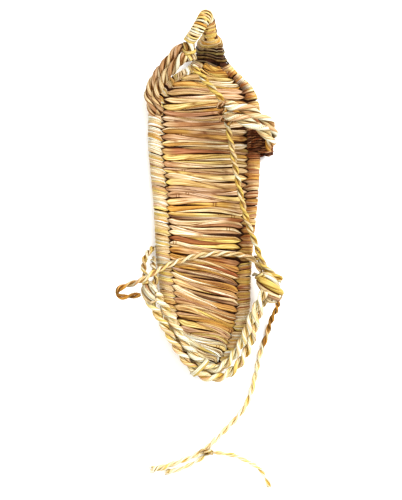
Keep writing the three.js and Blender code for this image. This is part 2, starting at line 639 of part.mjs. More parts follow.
add('cross_cord', twistedRope(crossCurve, CROSS_RADIUS), MATERIALS.cord);
add('tie_cord', cordTube(TIE_ROUTE, TIE_RADIUS), MATERIALS.cord);
add('tie_cord_second', cordTube(SECOND_ROUTE, TIE_RADIUS), MATERIALS.cord);
add('tie_tail', cordTube(TAIL_ROUTE, TAIL_RADIUS), MATERIALS.cord);
add('tie_knot', geometryOf(tieKnot()), MATERIALS.cord);

export default group;
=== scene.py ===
"""Straw sandal for a right foot, dressed straw by straw over its frame.

The sole's weave, the ropes, the straps, the bindings and the tie cord are each made by an operator
of a small add-on, from the sizes and colours in its two property groups.
"""
import math

import bmesh
import bpy
import numpy as np
from bpy.props import FloatProperty, FloatVectorProperty, IntProperty, PointerProperty
from mathutils import Matrix, Vector


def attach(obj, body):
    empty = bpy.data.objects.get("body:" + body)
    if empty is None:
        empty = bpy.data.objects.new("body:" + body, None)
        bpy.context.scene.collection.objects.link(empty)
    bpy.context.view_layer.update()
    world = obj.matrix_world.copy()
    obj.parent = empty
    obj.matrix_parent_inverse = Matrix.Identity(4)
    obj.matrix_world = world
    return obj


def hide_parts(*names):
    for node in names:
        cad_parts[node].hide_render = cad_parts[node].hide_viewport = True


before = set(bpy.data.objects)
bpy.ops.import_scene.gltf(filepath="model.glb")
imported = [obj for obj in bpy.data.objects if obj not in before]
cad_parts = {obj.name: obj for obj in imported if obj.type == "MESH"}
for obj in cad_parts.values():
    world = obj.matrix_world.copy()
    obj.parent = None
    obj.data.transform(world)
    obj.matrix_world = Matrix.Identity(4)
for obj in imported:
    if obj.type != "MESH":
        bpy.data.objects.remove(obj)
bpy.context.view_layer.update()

bl_info = {
    "name": "Straw Sandal",
    "version": (1, 0, 0),
    "blender": (4, 5, 0),
    "location": "View3D > Sidebar > Sandal",
    "description": "Weaves a straw sandal with rope straps over its frame",
    "category": "Object",
}

MM = 0.001
FULL_TURN = 2 * math.pi
BODY = "root"

# Sole's outline: half-widths on each side of the middle line and that line's shift, as shares of
# half the ball width, by the share of the sole's length from the heel back.
OUTLINE = (
    # along, left, right, shift
    (0.0, 0.81, 0.81, 0.06), (0.16, 0.81, 0.81, 0.045), (0.28, 0.81, 0.81, 0.015),
    (0.39, 0.86, 0.855, 0.0), (0.47, 0.88, 0.905, 0.0), (0.57, 0.915, 0.965, 0.0),
    (0.7, 0.985, 1.0, 0.0), (0.79, 0.995, 1.005, 0.0), (0.84, 0.975, 0.99, 0.0),
    (0.872, 0.94, 0.945, 0.005), (0.906, 0.845, 0.845, 0.015), (0.933, 0.685, 0.68, 0.037),
    (0.951, 0.545, 0.53, 0.075), (0.967, 0.43, 0.41, 0.1), (0.985, 0.33, 0.32, 0.1),
    (1.0, 0.27, 0.27, 0.09),
)
ORIGIN_SHARE = 0.551  # share of the sole's length, from the heel, at which the frame's origin is
HEEL_ROUND = 0.28     # share of the sole's length over which the heel narrows

# One side of the sole's section: where a straw's path meets it (0 the field's middle, 1 the
# underside's middle), inset from the edge in roll widths or as a share of the half-width, and
# height as a share of the roll's.
SECTION = (
    # path, inset in rolls, share of half-width, rise in rolls
    (0.16, None, 0.38, None), (0.36, 1.02, None, None), (0.44, 0.82, None, 0.9),
    (0.52, 0.48, None, 1.0), (0.6, 0.16, None, 0.86), (0.66, 0.0, None, 0.55),
    (0.72, 0.04, None, 0.22), (0.8, 0.3, None, 0.0), (0.9, None, 0.5, 0.0),
)

# Horn and peak rope: shares of the horn's reach ahead of the sole, of half the ball width sideways
# and of the horn's height upwards.
HORN = ((0.2, 0.077, 0.375), (0.45, 0.047, 0.52), (0.745, 0.005, 0.665), (0.94, -0.045, 0.8))
PEAK = ((0.88, -0.085, 0.935), (0.63, -0.16, 0.985), (0.34, -0.26, 0.955), (0.1, -0.356, 0.875))
APEX_SHARE = 0.475

# Middle of the pair of heel ropes: shares of half the ball width, the sole's length and the side
# loops' height, and how far the pair leans on edge.
HEEL_PAIR = (
    (-0.955, 0.265, 0.96, 20), (-0.775, 0.215, 0.84, 12), (-0.58, 0.155, 0.74, 6),
    (-0.4, 0.101, 0.67, 0), (-0.2, 0.055, 0.65, 0), (0.02, 0.026, 0.64, 0), (0.25, 0.024, 0.64, 0),
    (0.465, 0.049, 0.66, 5), (0.655, 0.098, 0.72, 18), (0.77, 0.152, 0.8, 36),
    (0.845, 0.2, 0.88, 50), (0.95, 0.245, 0.94, 60), (1.025, 0.275, 0.98, 65),
)

# Routes of ropes that are held at both ends: across in half ball widths, along in sole lengths, and
# height in millimetres.
TOE_LACE = (
    (-0.285, 0.946, 37.0), (-0.01, 0.893, 35.1), (0.23, 0.843, 33.9), (0.31, 0.789, 32.4),
    (0.43, 0.7, 26.5), (0.55, 0.6, 22.6), (0.69, 0.497, 21.1), (0.86, 0.412, 22.6),
    (0.965, 0.359, 25.0), (1.06, 0.337, 26.5), (1.18, 0.322, 26.8), (1.29, 0.308, 25.5),
)
EAR_LEFT = (
    (-0.915, 0.404, 8.4), (-1.03, 0.385, 15.5), (-1.08, 0.357, 19.0), (-1.06, 0.323, 21.0),
    (-1.01, 0.3, 22.5), (-0.94, 0.292, 24.0), (-0.885, 0.305, 23.5), (-0.9, 0.332, 20.5),
    (-0.915, 0.355, 16.5), (-0.905, 0.371, 8.4),
)
EAR_RIGHT = (
    (0.915, 0.374, 8.4), (0.985, 0.357, 16.0), (1.05, 0.335, 20.0), (1.1, 0.31, 22.5),
    (1.05, 0.293, 23.3), (0.975, 0.297, 21.0), (0.93, 0.312, 17.0), (0.895, 0.322, 8.4),
)
CROSS_CORD = (
    (0.955, 0.332, 20.5), (0.9, 0.353, 19.0), (0.8, 0.373, 16.9), (0.62, 0.384, 15.1),
    (0.4, 0.388, 12.9), (0.1, 0.387, 12.4), (-0.2, 0.379, 12.4), (-0.5, 0.363, 14.0),
    (-0.72, 0.348, 18.0), (-0.94, 0.33, 26.7), (-1.09, 0.312, 28.0), (-1.3, 0.298, 26.5),
    (-1.5, 0.284, 24.5), (-1.535, 0.27, 23.8), (-1.47, 0.26, 23.5), (-1.3, 0.262, 24.0),
    (-1.14, 0.266, 24.0),
)
STRAP_LEFT = (
    # across, along, height, share of the full band
    (-0.84, 0.812, 10.0, 0.55), (-0.89, 0.838, 15.2, 0.6), (-0.93, 0.87, 18.3, 0.66),
    (-0.84, 0.907, 24.6, 0.8), (-0.705, 0.937, 30.4, 0.92), (-0.57, 0.962, 35.1, 1.0),
    (-0.46, 0.982, 37.8, 1.0), (-0.35, 0.99, 38.2, 0.8),
)
STRAP_RIGHT = (
    (1.035, 0.722, 3.4, 0.5), (1.09, 0.725, 9.0, 0.6), (1.13, 0.732, 17.2, 0.6),
    (1.1, 0.752, 28.1, 0.74), (0.96, 0.772, 34.3, 0.9), (0.75, 0.79, 38.2, 1.0),
    (0.54, 0.803, 39.8, 1.0), (0.36, 0.811, 39.0, 0.98), (0.26, 0.815, 37.5, 0.9),
)
# Directions in which a strap's ropes lie side by side, at the same points.
LEFT_WAYS = ((1, 0.35, 0.1), (1, 0.35, 0.1), (0.9, 0.3, 0.45), (0.75, -0.1, 0.62),
             (0.62, -0.45, 0.62), (0.45, -0.75, 0.45), (0.3, -0.9, 0.25), (0.2, -1, 0.2))
RIGHT_WAYS = ((0.05, 1, 0), (0.05, 1, 0), (0.05, 1, 0.05), (0.3, 1, 0.25), (0.42, 0.9, 0.12),
              (0.42, 0.9, 0.05), (0.35, 0.93, 0.05), (-0.25, 0.95, 0.1), (-0.3, 0.95, 0.1))
# One turn of cord round the border at the right strap's foot: across, height, drift along.
FOOT_TURN = ((0.76, 10.6, 0.014), (0.85, 13.4, 0.01), (0.98, 15.2, 0.004), (1.1, 14.6, -0.001),
             (1.17, 11.4, -0.003), (1.17, 6.4, -0.003), (1.08, 3.0, -0.003), (0.93, 2.6, -0.003))

HALF_GAP = 0.175 * MM  # half the gap between the two heel ropes
ROUNDER = 1.06         # what a rope of straws gains on its solid's radius, to fill it as well
RING_STEPS = 18        # steps of a straw in one turn of a binding

# Shares of the lace at which the right strap's ends go round it.
BIGHTS = (0.21, 0.24, 0.27)

# Bindings' lines, in the same shares and millimetres as the held ropes.
BINDING_LEFT = ((-1.0, 0.305, 23.0), (-0.985, 0.275, 23.8), (-0.92, 0.243, 22.0))
BINDING_RIGHT = ((0.96, 0.33, 22.0), (1.08, 0.29, 24.0), (1.24, 0.245, 22.0))

# Strand over the heel ropes: inwards and upwards from the pair's middle, in heel rope radii.
LASHING = (
    (0.0, -1.5), (-1.2, -1.45), (-2.0, -0.95), (-2.25, -0.1), (-2.0, 0.8), (-1.2, 1.35),
    (0.0, 1.45), (1.2, 1.35), (2.0, 0.8), (2.25, -0.1), (2.0, -0.95), (1.2, -1.45), (0.0, -1.5),
)

# Free cords, in millimetres: the same points as the solids'.
TIE_ROUTE = (
    (52.9, -74.2, 22.4), (54, -78.6, 19.4), (53.4, -82.6, 15), (51.7, -88.5, 8.6), (50.4, -95, 4.2),
    (48.7, -102.5, 2.4), (45.4, -111.8, 2.3), (43, -119, 2.3), (40.7, -131, 2.3), (37.4, -143, 2.3),
    (34.4, -152.3, 2.3), (30.4, -159.4, 2.3), (26, -165, 2.3), (20.4, -170.8, 2.3),
    (14.6, -176.6, 2.3), (8.8, -182.4, 2.3), (2.3, -188, 2.3), (-5.4, -192.8, 2.3),
    (-13.8, -196.3, 2.3), (-22.4, -199.2, 2.3), (-31.8, -202, 2.3), (-41.5, -204, 2.3),
)
SECOND_ROUTE = (
    (6.6, -191.2, 2.3), (14.4, -192.6, 2.3), (24.4, -194.6, 2.3), (33.6, -199, 2.3),
    (40.8, -203, 2.3), (45.4, -208, 2.3), (48.8, -213.6, 2.3), (50.8, -220, 2.3),
)
TAIL_ROUTE = (
    (1.0, -194.2, 2.1), (-4.6, -197.8, 2.1), (-12, -201.4, 2.1), (-20.6, -204.4, 2.1),
    (-30.2, -206.6, 2.1),
)


# Sizes in millimetres
SIZES = {
    "sole_length": (244.0, "Heel back to the foot of the horn"),
    "ball_width": (86.0, "Widest place of the sole"),
    "roll_height": (12.0, "Rolled border above the floor"),
    "roll_width": (10.5, "Rolled border from the edge to the field"),
    "field_height": (9.0, "Woven field above the floor"),
    "field_dish": (0.8, "How far the field's middle is trodden down"),
    "arch_rise": (1.4, "Underside above the floor at the waist"),
    "horn_reach": (22.0, "Horn's apex ahead of its foot"),
    "horn_height": (48.0, "Horn's apex above the floor"),
    "horn_radius": (5.3, "Horn where it turns over"),
    "row_pitch": (4.98, "From one row of straws to the next"),
    "heel_rope": (3.4, "Radius of each of the two heel ropes"),
    "ear_rope": (2.2, "Radius of the side loops' rope"),
    "ear_height": (25.0, "Side loops' tops above the floor"),
    "lace": (2.1, "Radius of the toe lace"),
    "cross_cord": (2.0, "Radius of the cord across the field"),
    "tie_cord": (2.1, "Radius of the free cord behind the heel"),
    "tail_cord": (1.7, "Radius of the short end at the tie knot"),
    "binding": (6.6, "Radius of the left binding at its thickest"),
    "peak": (5.6, "Radius of the bound rope that runs back from the horn"),
    "ply_pitch": (17.0, "Length in which a rope's plies turn once"),
}
COLOURS = {
    "white": ((252, 246, 216), "Bleached straw of ropes and straps"),
    "cream": ((246, 218, 168), "Palest straw of the weave"),
    "yellow": ((238, 208, 118), "Fresh yellow straw"),
    "ochre": ((222, 168, 78), "Golden straw"),
    "beige": ((224, 182, 138), "Pinkish tan straw"),
    "tan": ((192, 138, 88), "Weathered straw"),
    "rust": ((168, 98, 48), "Reddish brown straw"),
    "brown": ((116, 68, 34), "Stained straw"),
    "dark": ((52, 27, 12), "Shade between the straws"),
    "ground": ((250, 250, 249), "Plain pale floor"),
}


def linear(shown):
    """A colour of 0 to 255 on screen as the light that Blender works in."""
    shares = [value / 255.0 for value in shown]
    return [share / 12.92 if share <= 0.04045 else ((share + 0.055) / 1.055) ** 2.4
            for share in shares]


def label(name):
    return name.replace("_", " ").capitalize()


class SandalSizes(bpy.types.PropertyGroup):
    """Sizes of the sandal"""
    __annotations__ = {
        name: FloatProperty(name=label(name), description=text, default=millimetres * MM,
                            subtype="DISTANCE", unit="LENGTH", min=0.0)
        for name, (millimetres, text) in SIZES.items()}
    seed: IntProperty(name="Seed", description="Picks the straws' small differences", default=7)


class SandalColours(bpy.types.PropertyGroup):
    """Colours of the straw and the ground"""
    __annotations__ = {
        name: FloatVectorProperty(name=label(name), description=text, default=linear(shown),
                                  subtype="COLOR", size=3, min=0.0, max=1.0)
        for name, (shown, text) in COLOURS.items()}
    strength: FloatProperty(name="Strength", default=0.55, min=0.0, max=1.0,
                            description="How much of its shown colour each straw has")


def sizes():
    return bpy.context.scene.sandal_sizes


def colours():
    return bpy.context.scene.sandal_colours


# Curves

PATH_STEPS = 14  # steps of a smooth path from one of its points to the next


def hermite(t, start, leave, end, arrive):
    """A cubic from start to end that leaves and arrives with the given slopes."""
    return ((2 * t ** 3 - 3 * t ** 2 + 1) * start + (t ** 3 - 2 * t ** 2 + t) * leave
            + (3 * t ** 2 - 2 * t ** 3) * end + (t ** 3 - t ** 2) * arrive)


def smooth_path(points):
    """Points on a smooth centripetal curve through a list of points."""
    rows = np.array(points, dtype=float)
    rows = np.vstack([2 * rows[0] - rows[1], rows, 2 * rows[-1] - rows[-2]])
    t = np.linspace(0, 1, PATH_STEPS, endpoint=False)[:, None]
    out = []
    for k in range(1, len(rows) - 2):
        before, start, end, after = rows[k - 1:k + 3]
        steps = np.linalg.norm(np.diff(rows[k - 1:k + 3], axis=0), axis=1)
        a, b, c = np.maximum(steps ** 0.5, 1e-6)
        leave = (start - before) / a - (end - before) / (a + b) + (end - start) / b
        arrive = (end - start) / b - (after - start) / (b + c) + (after - end) / c
        out.append(hermite(t, start, leave * b, end, arrive * b))
    out.append(rows[-2][None])
    return np.vstack(out)


def path_lengths(path):
    """Distance along a path at each of its points."""
    steps = np.linalg.norm(np.diff(path, axis=0), axis=1)
    return np.concatenate([[0.0], np.cumsum(steps)])


def even_path(path, count):
    """The same path with its points at even distances."""
    return part_of_path(path, 0.0, 1.0, count)


def tucked(path, depth):
    """A path drawn out at both ends by a depth, so that they hide in what they come out of."""
    return np.concatenate([path[:1] + unit(path[:1] - path[3:4]) * depth, path,
                           path[-1:] + unit(path[-1:] - path[-4:-3]) * depth])


def part_of_path(path, start, end, count):
    """The stretch of a path between two shares of its length."""
    along = path_lengths(path)
    wanted = np.linspace(start, end, count) * along[-1]
    return np.stack([np.interp(wanted, along, path[:, k]) for k in range(3)], axis=1)


def unit(rows):
    return rows / np.maximum(np.linalg.norm(rows, axis=-1, keepdims=True), 1e-12)


def frames_along(path):
    """Tangents, normals and binormals that don't twist as they run along a path."""
    tangents = unit(np.gradient(path, axis=0))
    normals = np.zeros_like(path)
    first = np.array((0.0, 0.0, 1.0))
    if abs(first @ tangents[0]) > 0.95:
        first = np.array((1.0, 0.0, 0.0))
    normals[0] = unit(first - tangents[0] * (first @ tangents[0]))
    for k in range(1, len(path)):
        carried = normals[k - 1] - tangents[k] * (normals[k - 1] @ tangents[k])
        normals[k] = carried / max(np.linalg.norm(carried), 1e-9)
    return tangents, normals, np.cross(tangents, normals)


def around(centre, radius, angle, normals, binormals):
    """Points round a line and the way out to each."""
    out = np.cos(angle)[:, None] * normals + np.sin(angle)[:, None] * binormals
    return centre + out * radius, out


def place(across, along, height):
    """A point by its shares of half the ball width and the sole's length, height in millimetres."""
    s = sizes()
    return across * s.ball_width / 2, (along - ORIGIN_SHARE) * s.sole_length, height * MM


def route(rows):
    """The smooth path through a table of places."""
    return smooth_path([place(*row[:3]) for row in rows])


# The sole's surface

def outline_at(column, along):
    """A column of the outline on a smooth curve through its rows."""
    rows = np.array(OUTLINE)
    x, y = rows[:, 0], rows[:, column]
    if along <= x[0]:
        return y[0]
    if along >= x[-1]:
        return y[-1]
    k = int(np.searchsorted(x, along, side="right") - 1)
    before, after = max(k - 1, 0), min(k + 2, len(x) - 1)
    span = x[k + 1] - x[k]
    leave = (y[k + 1] - y[before]) / (x[k + 1] - x[before]) * span
    arrive = (y[after] - y[k]) / (x[after] - x[k]) * span
    return hermite((along - x[k]) / span, y[k], leave, y[k + 1], arrive)


def half_width(side, along):
    """From the middle line to the sole's edge."""
    full = sizes().ball_width / 2 * outline_at(1 if side < 0 else 2, along)
    back = max(0.0, 1 - along / HEEL_ROUND)
    return full * max(0.0, 1 - back * back) ** 0.6


def smooth_step(value):
    value = np.clip(value, 0, 1)
    return value * value * (3 - 2 * value)


def section_knots(along):
    """Knots of the section at a share of the sole's length: path values and points."""
    s = sizes()
    shift = outline_at(3, along) * s.ball_width / 2
    waist = np.clip((along - 0.3) / 0.24, 0, 1)
    spring = np.clip((along - 0.84) / 0.16, 0, 1)
    low = s.arch_rise * math.sin(waist * math.pi) ** 2 + s.horn_height * 0.13 * spring ** 2
    slope = min(1.0, 0.72 + along * 6)
    roll = s.roll_height * slope
    close = smooth_step((along - 0.9) / 0.1)
    field = s.field_height * slope * (1 - close) + s.roll_height * 0.97 * close
    tilt = math.atan2(s.horn_height * 0.3, s.sole_length * 0.16)
    tilt *= np.clip((along - 0.86) / 0.14, 0, 1) ** 2
    knots = [(0.0, 0.0, field - s.field_dish), (1.0, 0.0, 0.0), (-1.0, 0.0, 0.0)]
    for side in (-1, 1):
        half = max(half_width(side, along), 3 * MM)
        width = min(s.roll_width, half * 0.62)
        for path, inset, share, rise in SECTION:
            across = half * share if inset is None else half - inset * width
            if rise is None:
                height = field - (s.field_dish * 0.8 if inset is None else 0.0)
                across = min(across, 0.5 * (half - 1.02 * width)) if inset is None else across
            else:
                height = rise * roll
            knots.append((side * path, side * across, height))
    path, across, height = np.array(sorted(knots)).T
    base = (along - ORIGIN_SHARE) * s.sole_length
    return path, np.stack([shift + across, base - height * math.sin(tilt),
                           low + height * math.cos(tilt)], axis=1)


def nose_path():
    """Middle line of the horn and of the peak rope that runs back from it."""
    s = sizes()
    foot = (1 - ORIGIN_SHARE) * s.sole_length
    return smooth_path([(side * s.ball_width / 2, foot + ahead * s.horn_reach, up * s.horn_height)
                        for ahead, side, up in HORN + PEAK])


def horn_rings(count):
    """Sections of the horn: the sole's last section shrinks to a round one on the nose's line."""
    s = sizes()
    path, front = section_knots(1.0)
    shown = np.abs(path) < 0.85
    middle = front[shown & (path != 0)].mean(axis=0)
    flat = front - middle
    line = nose_path()
    rings = []
    for k in range(1, count + 1):
        share = k / count
        at = part_of_path(line, share * APEX_SHARE, share * APEX_SHARE + 0.01, 2)
        tangent = unit(at[1] - at[0])
        across = unit(np.cross(tangent, (0, 0, 1)))
        up = np.cross(across, tangent)
        slim = smooth_step((share * 12 + 1.5) / 7)
        radius = s.horn_radius * (1.25 - 0.3 * share)
        height = np.hypot(flat[:, 1], flat[:, 2]) * np.sign(flat[:, 2])
        angle = np.arctan2(height * 1.9, flat[:, 0])
        x = flat[:, 0] * (1 - slim) + np.cos(angle) * radius * slim
        z = height * (1 - slim) + np.sin(angle) * radius * slim
        rings.append(at[0] + x[:, None] * across + z[:, None] * up)
    return rings


def evened_rings(rings, reach=14):
    """Rings with each point drawn towards the mean of its neighbours round the ring."""
    inner = rings[:, :-1]
    steps = range(-reach, reach + 1)
    shares = np.array([1 - abs(k) / (reach + 1) for k in steps])
    out = sum(share * np.roll(inner, k, axis=1) for share, k in zip(shares / shares.sum(), steps))
    return np.concatenate([out, out[:, :1]], axis=1)


class SoleSurface:
    """The sole's skin as a grid: stations run 0 to 1 along the sole and 1 to 2 up the horn, and a
    path value runs from -1 (underside, left) through 0 (the field's middle) to 1."""
    ROWS = 300
    HORN_RINGS = 12
    HORN_ROWS = 48
    COLUMNS = 240

    def __init__(self):
        values = np.linspace(-1, 1, self.COLUMNS + 1)
        rings = []
        for row in range(self.ROWS + 1):
            path, points = section_knots(0.004 + 0.996 * row / self.ROWS)
            rings.append(self.round_off(path, points, values))
        horn = [self.round_off(path, ring, values) for ring in horn_rings(self.HORN_RINGS)]
        horn = np.array([rings[-1]] + horn)
        at = np.linspace(0, self.HORN_RINGS, self.HORN_ROWS + 1)[1:]
        low = np.minimum(at.astype(int), self.HORN_RINGS - 1)
        blend = (at - low)[:, None, None]
        horn = horn[low] * (1 - blend) + horn[low + 1] * blend
        ramp = np.clip(at / 3, 0, 1)[:, None, None]
        rings += list(horn * (1 - ramp) + evened_rings(horn) * ramp)
        self.points = np.array(rings)
        down = np.gradient(self.points, axis=0)
        over = np.gradient(self.points, axis=1)
        over[:, 0] = over[:, -1] = self.points[:, 1] - self.points[:, -2]
        self.normals = unit(np.cross(over, down))

    @staticmethod
    def round_off(path, points, values):
        """A section's knots joined by a smooth line, read at even path values."""
        slope = np.gradient(points, path, axis=0)
        k = np.clip(np.searchsorted(path, values, side="right") - 1, 0, len(path) - 2)
        span = (path[k + 1] - path[k])[:, None]
        t = (values - path[k])[:, None] / span
        return hermite(t, points[k], slope[k] * span, points[k + 1], slope[k + 1] * span)

    def at(self, station, path, lift):
        """Points lifted off the skin, with the skin's normals there."""
        station, path = np.asarray(station, dtype=float), np.asarray(path, dtype=float)
        path = (path + 1) % 2 - 1
        row = np.where(station <= 1, station * self.ROWS,
                       self.ROWS + (station - 1) * self.HORN_ROWS)
        row = np.clip(row, 0, len(self.points) - 1.001)
        column = np.clip((path + 1) / 2 * self.COLUMNS, 0, self.COLUMNS - 0.001)
        r, c = row.astype(int), column.astype(int)
        fr, fc = (row - r)[..., None], (column - c)[..., None]

        def mix(grid):
            near = grid[r, c] * (1 - fc) + grid[r, c + 1] * fc
            far = grid[r + 1, c] * (1 - fc) + grid[r + 1, c + 1] * fc
            return near * (1 - fr) + far * fr
        normal = unit(mix(self.normals))
        return mix(self.points) + normal * np.asarray(lift)[..., None], normal


# Straws as meshes

def new_object(name, data):
    """An object in the scene."""
    made = bpy.data.objects.new(name, data)
    bpy.context.scene.collection.objects.link(made)
    return made


def mesh_of(bm, name):
    mesh = bpy.data.meshes.new(name)
    bm.to_mesh(mesh)
    bm.free()
    return mesh


def straw_template(sides, steps):
    """One straight straw as a mesh: a ring extruded step by step, closed at both ends, with its
    length and girth in its UV map."""
    bm = bmesh.new()
    bmesh.ops.create_circle(bm, segments=sides, radius=1.0)
    ring = list(bm.edges)
    for _ in range(steps):
        grown = bmesh.ops.extrude_edge_only(bm, edges=ring)["geom"]
        verts = [item for item in grown if isinstance(item, bmesh.types.BMVert)]
        ring = [item for item in grown if isinstance(item, bmesh.types.BMEdge)
                and all(v in verts for v in item.verts)]
        bmesh.ops.translate(bm, vec=(0, 0, 1.0), verts=verts)
    bmesh.ops.holes_fill(bm, edges=[e for e in bm.edges if e.is_boundary], sides=sides)
    bmesh.ops.recalc_face_normals(bm, faces=bm.faces)
    order = sorted(bm.verts, key=lambda v: (round(v.co.z), math.atan2(v.co.y, v.co.x) % FULL_TURN))
    for index, vert in enumerate(order):
        vert.index = index
    bm.verts.sort()
    bm.faces.sort(key=lambda face: len(order) * min(v.index for v in face.verts)
                  + max(v.index for v in face.verts))
    grain = bm.loops.layers.uv.new("Grain")
    for face in bm.faces:
        turns = [(loop.vert.index % sides) / sides for loop in face.loops]
        wraps = max(turns) - min(turns) > 0.5
        for loop, turn in zip(face.loops, turns):
            girth = turn + 1 if wraps and turn < 0.5 else turn
            loop[grain].uv = (loop.vert.index // sides / steps, girth)
        face.smooth = True
    return mesh_of(bm, "straw template")


def lay_straws(name, batches, finish, sides):
    """One piece from many straws. A batch holds arrays over its straws and steps: middles, normals
    of the flat side, half-widths, half-thicknesses and tints."""
    bm = bmesh.new()
    for batch in batches:
        bm.from_mesh(straw_mesh(batch, sides))
    mesh = mesh_of(bm, name)
    material = bpy.data.materials.get(finish) or straw_material(finish, **FINISHES[finish])
    mesh.materials.append(material)
    shown = new_object(name, mesh)
    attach(shown, BODY)
    return shown


def straw_mesh(batch, sides):
    """Copies of one straight straw, bent to the batch's lines."""
    middles, normals = batch["middles"], batch["normals"]
    count, points = middles.shape[:2]
    holder = new_object("straws", straw_template(sides, points - 1))
    copies = holder.modifiers.new("Copies", "ARRAY")
    copies.count = count
    copies.use_relative_offset = False
    copies.use_constant_offset = True
    copies.constant_offset_displace = (0, 0, points + 1.0)
    bpy.context.view_layer.update()
    mesh = bpy.data.meshes.new_from_object(
        holder.evaluated_get(bpy.context.evaluated_depsgraph_get()))
    bpy.data.meshes.remove(holder.data)
    tangents = unit(np.gradient(middles, axis=1))
    flat = unit(normals - tangents * (normals * tangents).sum(-1, keepdims=True))
    across = np.cross(tangents, flat)
    turn = np.arange(sides) / sides * FULL_TURN
    wide = batch["widths"][..., None, None] * np.cos(turn)[:, None] * across[:, :, None]
    thick = batch["depths"][..., None, None] * np.sin(turn)[:, None] * flat[:, :, None]
    mesh.vertices.foreach_set("co", (middles[:, :, None] + wide + thick).reshape(-1))
    tints = np.ones((count, points, sides, 4))
    tints[..., :3] = batch["tints"][:, :, None]
    layer = mesh.color_attributes.new("Tint", "FLOAT_COLOR", "POINT")
    layer.data.foreach_set("color", tints.reshape(-1))
    steps = np.linalg.norm(np.diff(middles, axis=1, prepend=middles[:, :1]), axis=2)
    for name, values in (("Straw", np.repeat(batch["seeds"], points)),
                         ("Reach", np.cumsum(steps, axis=1).reshape(-1))):
        layer = mesh.attributes.new(name, "FLOAT", "POINT")
        layer.data.foreach_set("value", np.repeat(values, sides))
    mesh.update()
    return mesh


def batch_of(middles, normals, widths, depths, tints, rng):
    """A batch with its arrays brought to the same shape."""
    middles, normals, tints = np.asarray(middles), np.asarray(normals), np.asarray(tints)
    count, points = middles.shape[:2]
    if tints.ndim == 2:
        tints = np.repeat(tints[:, None], points, axis=1)
    return {
        "middles": middles, "normals": normals, "tints": tints,
        "widths": np.broadcast_to(widths, (count, points)),
        "depths": np.broadcast_to(depths, (count, points)),
        "seeds": rng.uniform(0, 40, count),
    }


# Tints

def pick_tints(weights, count, rng, spread=0.1):
    """Tints for straws: each is one named straw colour, mixed a little with another."""
    c = colours()
    names = list(weights)
    chances = np.array([weights[name] for name in names], dtype=float)
    chances /= chances.sum()
    colour = np.array([c.strength * np.array(getattr(c, name)) for name in names])
    first = colour[rng.choice(len(names), count, p=chances)]
    second = colour[rng.choice(len(names), count, p=chances)]
    mix = rng.uniform(0, 0.35, count)[:, None]
    return (first * (1 - mix) + second * mix) * rng.uniform(1 - spread, 1 + spread, count)[:, None]


def ripple(at, speed, rng):
    """A sine of a random phase along a straw, its speed given or drawn from a range."""
    return np.sin(at * (rng.uniform(*speed) if isinstance(speed, tuple) else speed)
                  + rng.uniform(0, 6))


def two_tone(pair, wave, share=1.0):
    """Tints along a straw that change from the first of a pair to a share of the second."""
    run = share * smooth_step(0.5 + wave)[:, None]
    return pair[0] * (1 - run) + pair[1] * run


def field_weights(side, along):
    """How often each straw colour comes up at a place of the sole. side is -1 left to 1 right."""
    if along > 0.93:
        return {"ochre": 5, "yellow": 3, "rust": 2, "tan": 1, "cream": 1, "brown": 1}
    if along > 0.845:
        return {"yellow": 4, "ochre": 2.5, "cream": 5, "beige": 3}
    if along > 0.77:
        if side < 0.1:
            return {"beige": 6, "cream": 4, "tan": 1.5, "rust": 0.8, "ochre": 1.5}
        return {"cream": 4, "beige": 3, "ochre": 2, "yellow": 3}
    if along > 0.73:
        return {"rust": 3, "tan": 3, "beige": 4, "ochre": 3, "cream": 2, "brown": 0.6}
    if along > 0.4:
        return {"beige": 5, "cream": 5, "ochre": 3, "yellow": 3, "tan": 1.4, "rust": 0.7,
                "brown": 0.5}
    if along > 0.2:
        # Painted shade: the browner mix right of the middle here stands in for the shade on that
        # stretch.
        if side > 0.2:
            return {"rust": 2.5, "ochre": 4, "tan": 2, "beige": 2.5, "cream": 1.2, "brown": 1.6}
        return {"beige": 5, "cream": 4, "tan": 1.5, "ochre": 3, "yellow": 2, "rust": 0.7,
                "brown": 0.4}
    if along > 0.13:
        return {"ochre": 4, "cream": 4, "beige": 3, "yellow": 3, "tan": 1}
    return {"cream": 4, "yellow": 4, "white": 4, "beige": 1}


# Materials

def fill(tree, node, inputs):
    """Sets a node's inputs to values, or links them to sockets."""
    for name, value in inputs.items():
        if isinstance(value, bpy.types.NodeSocket):
            tree.links.new(value, node.inputs[name])
        else:
            node.inputs[name].default_value = value


def new_node(tree, kind, inputs=None, **settings):
    """The outputs of a new shader node."""
    node = tree.nodes.new(kind)
    for name, value in settings.items():
        setattr(node, name, value)
    fill(tree, node, inputs or {})
    return node.outputs


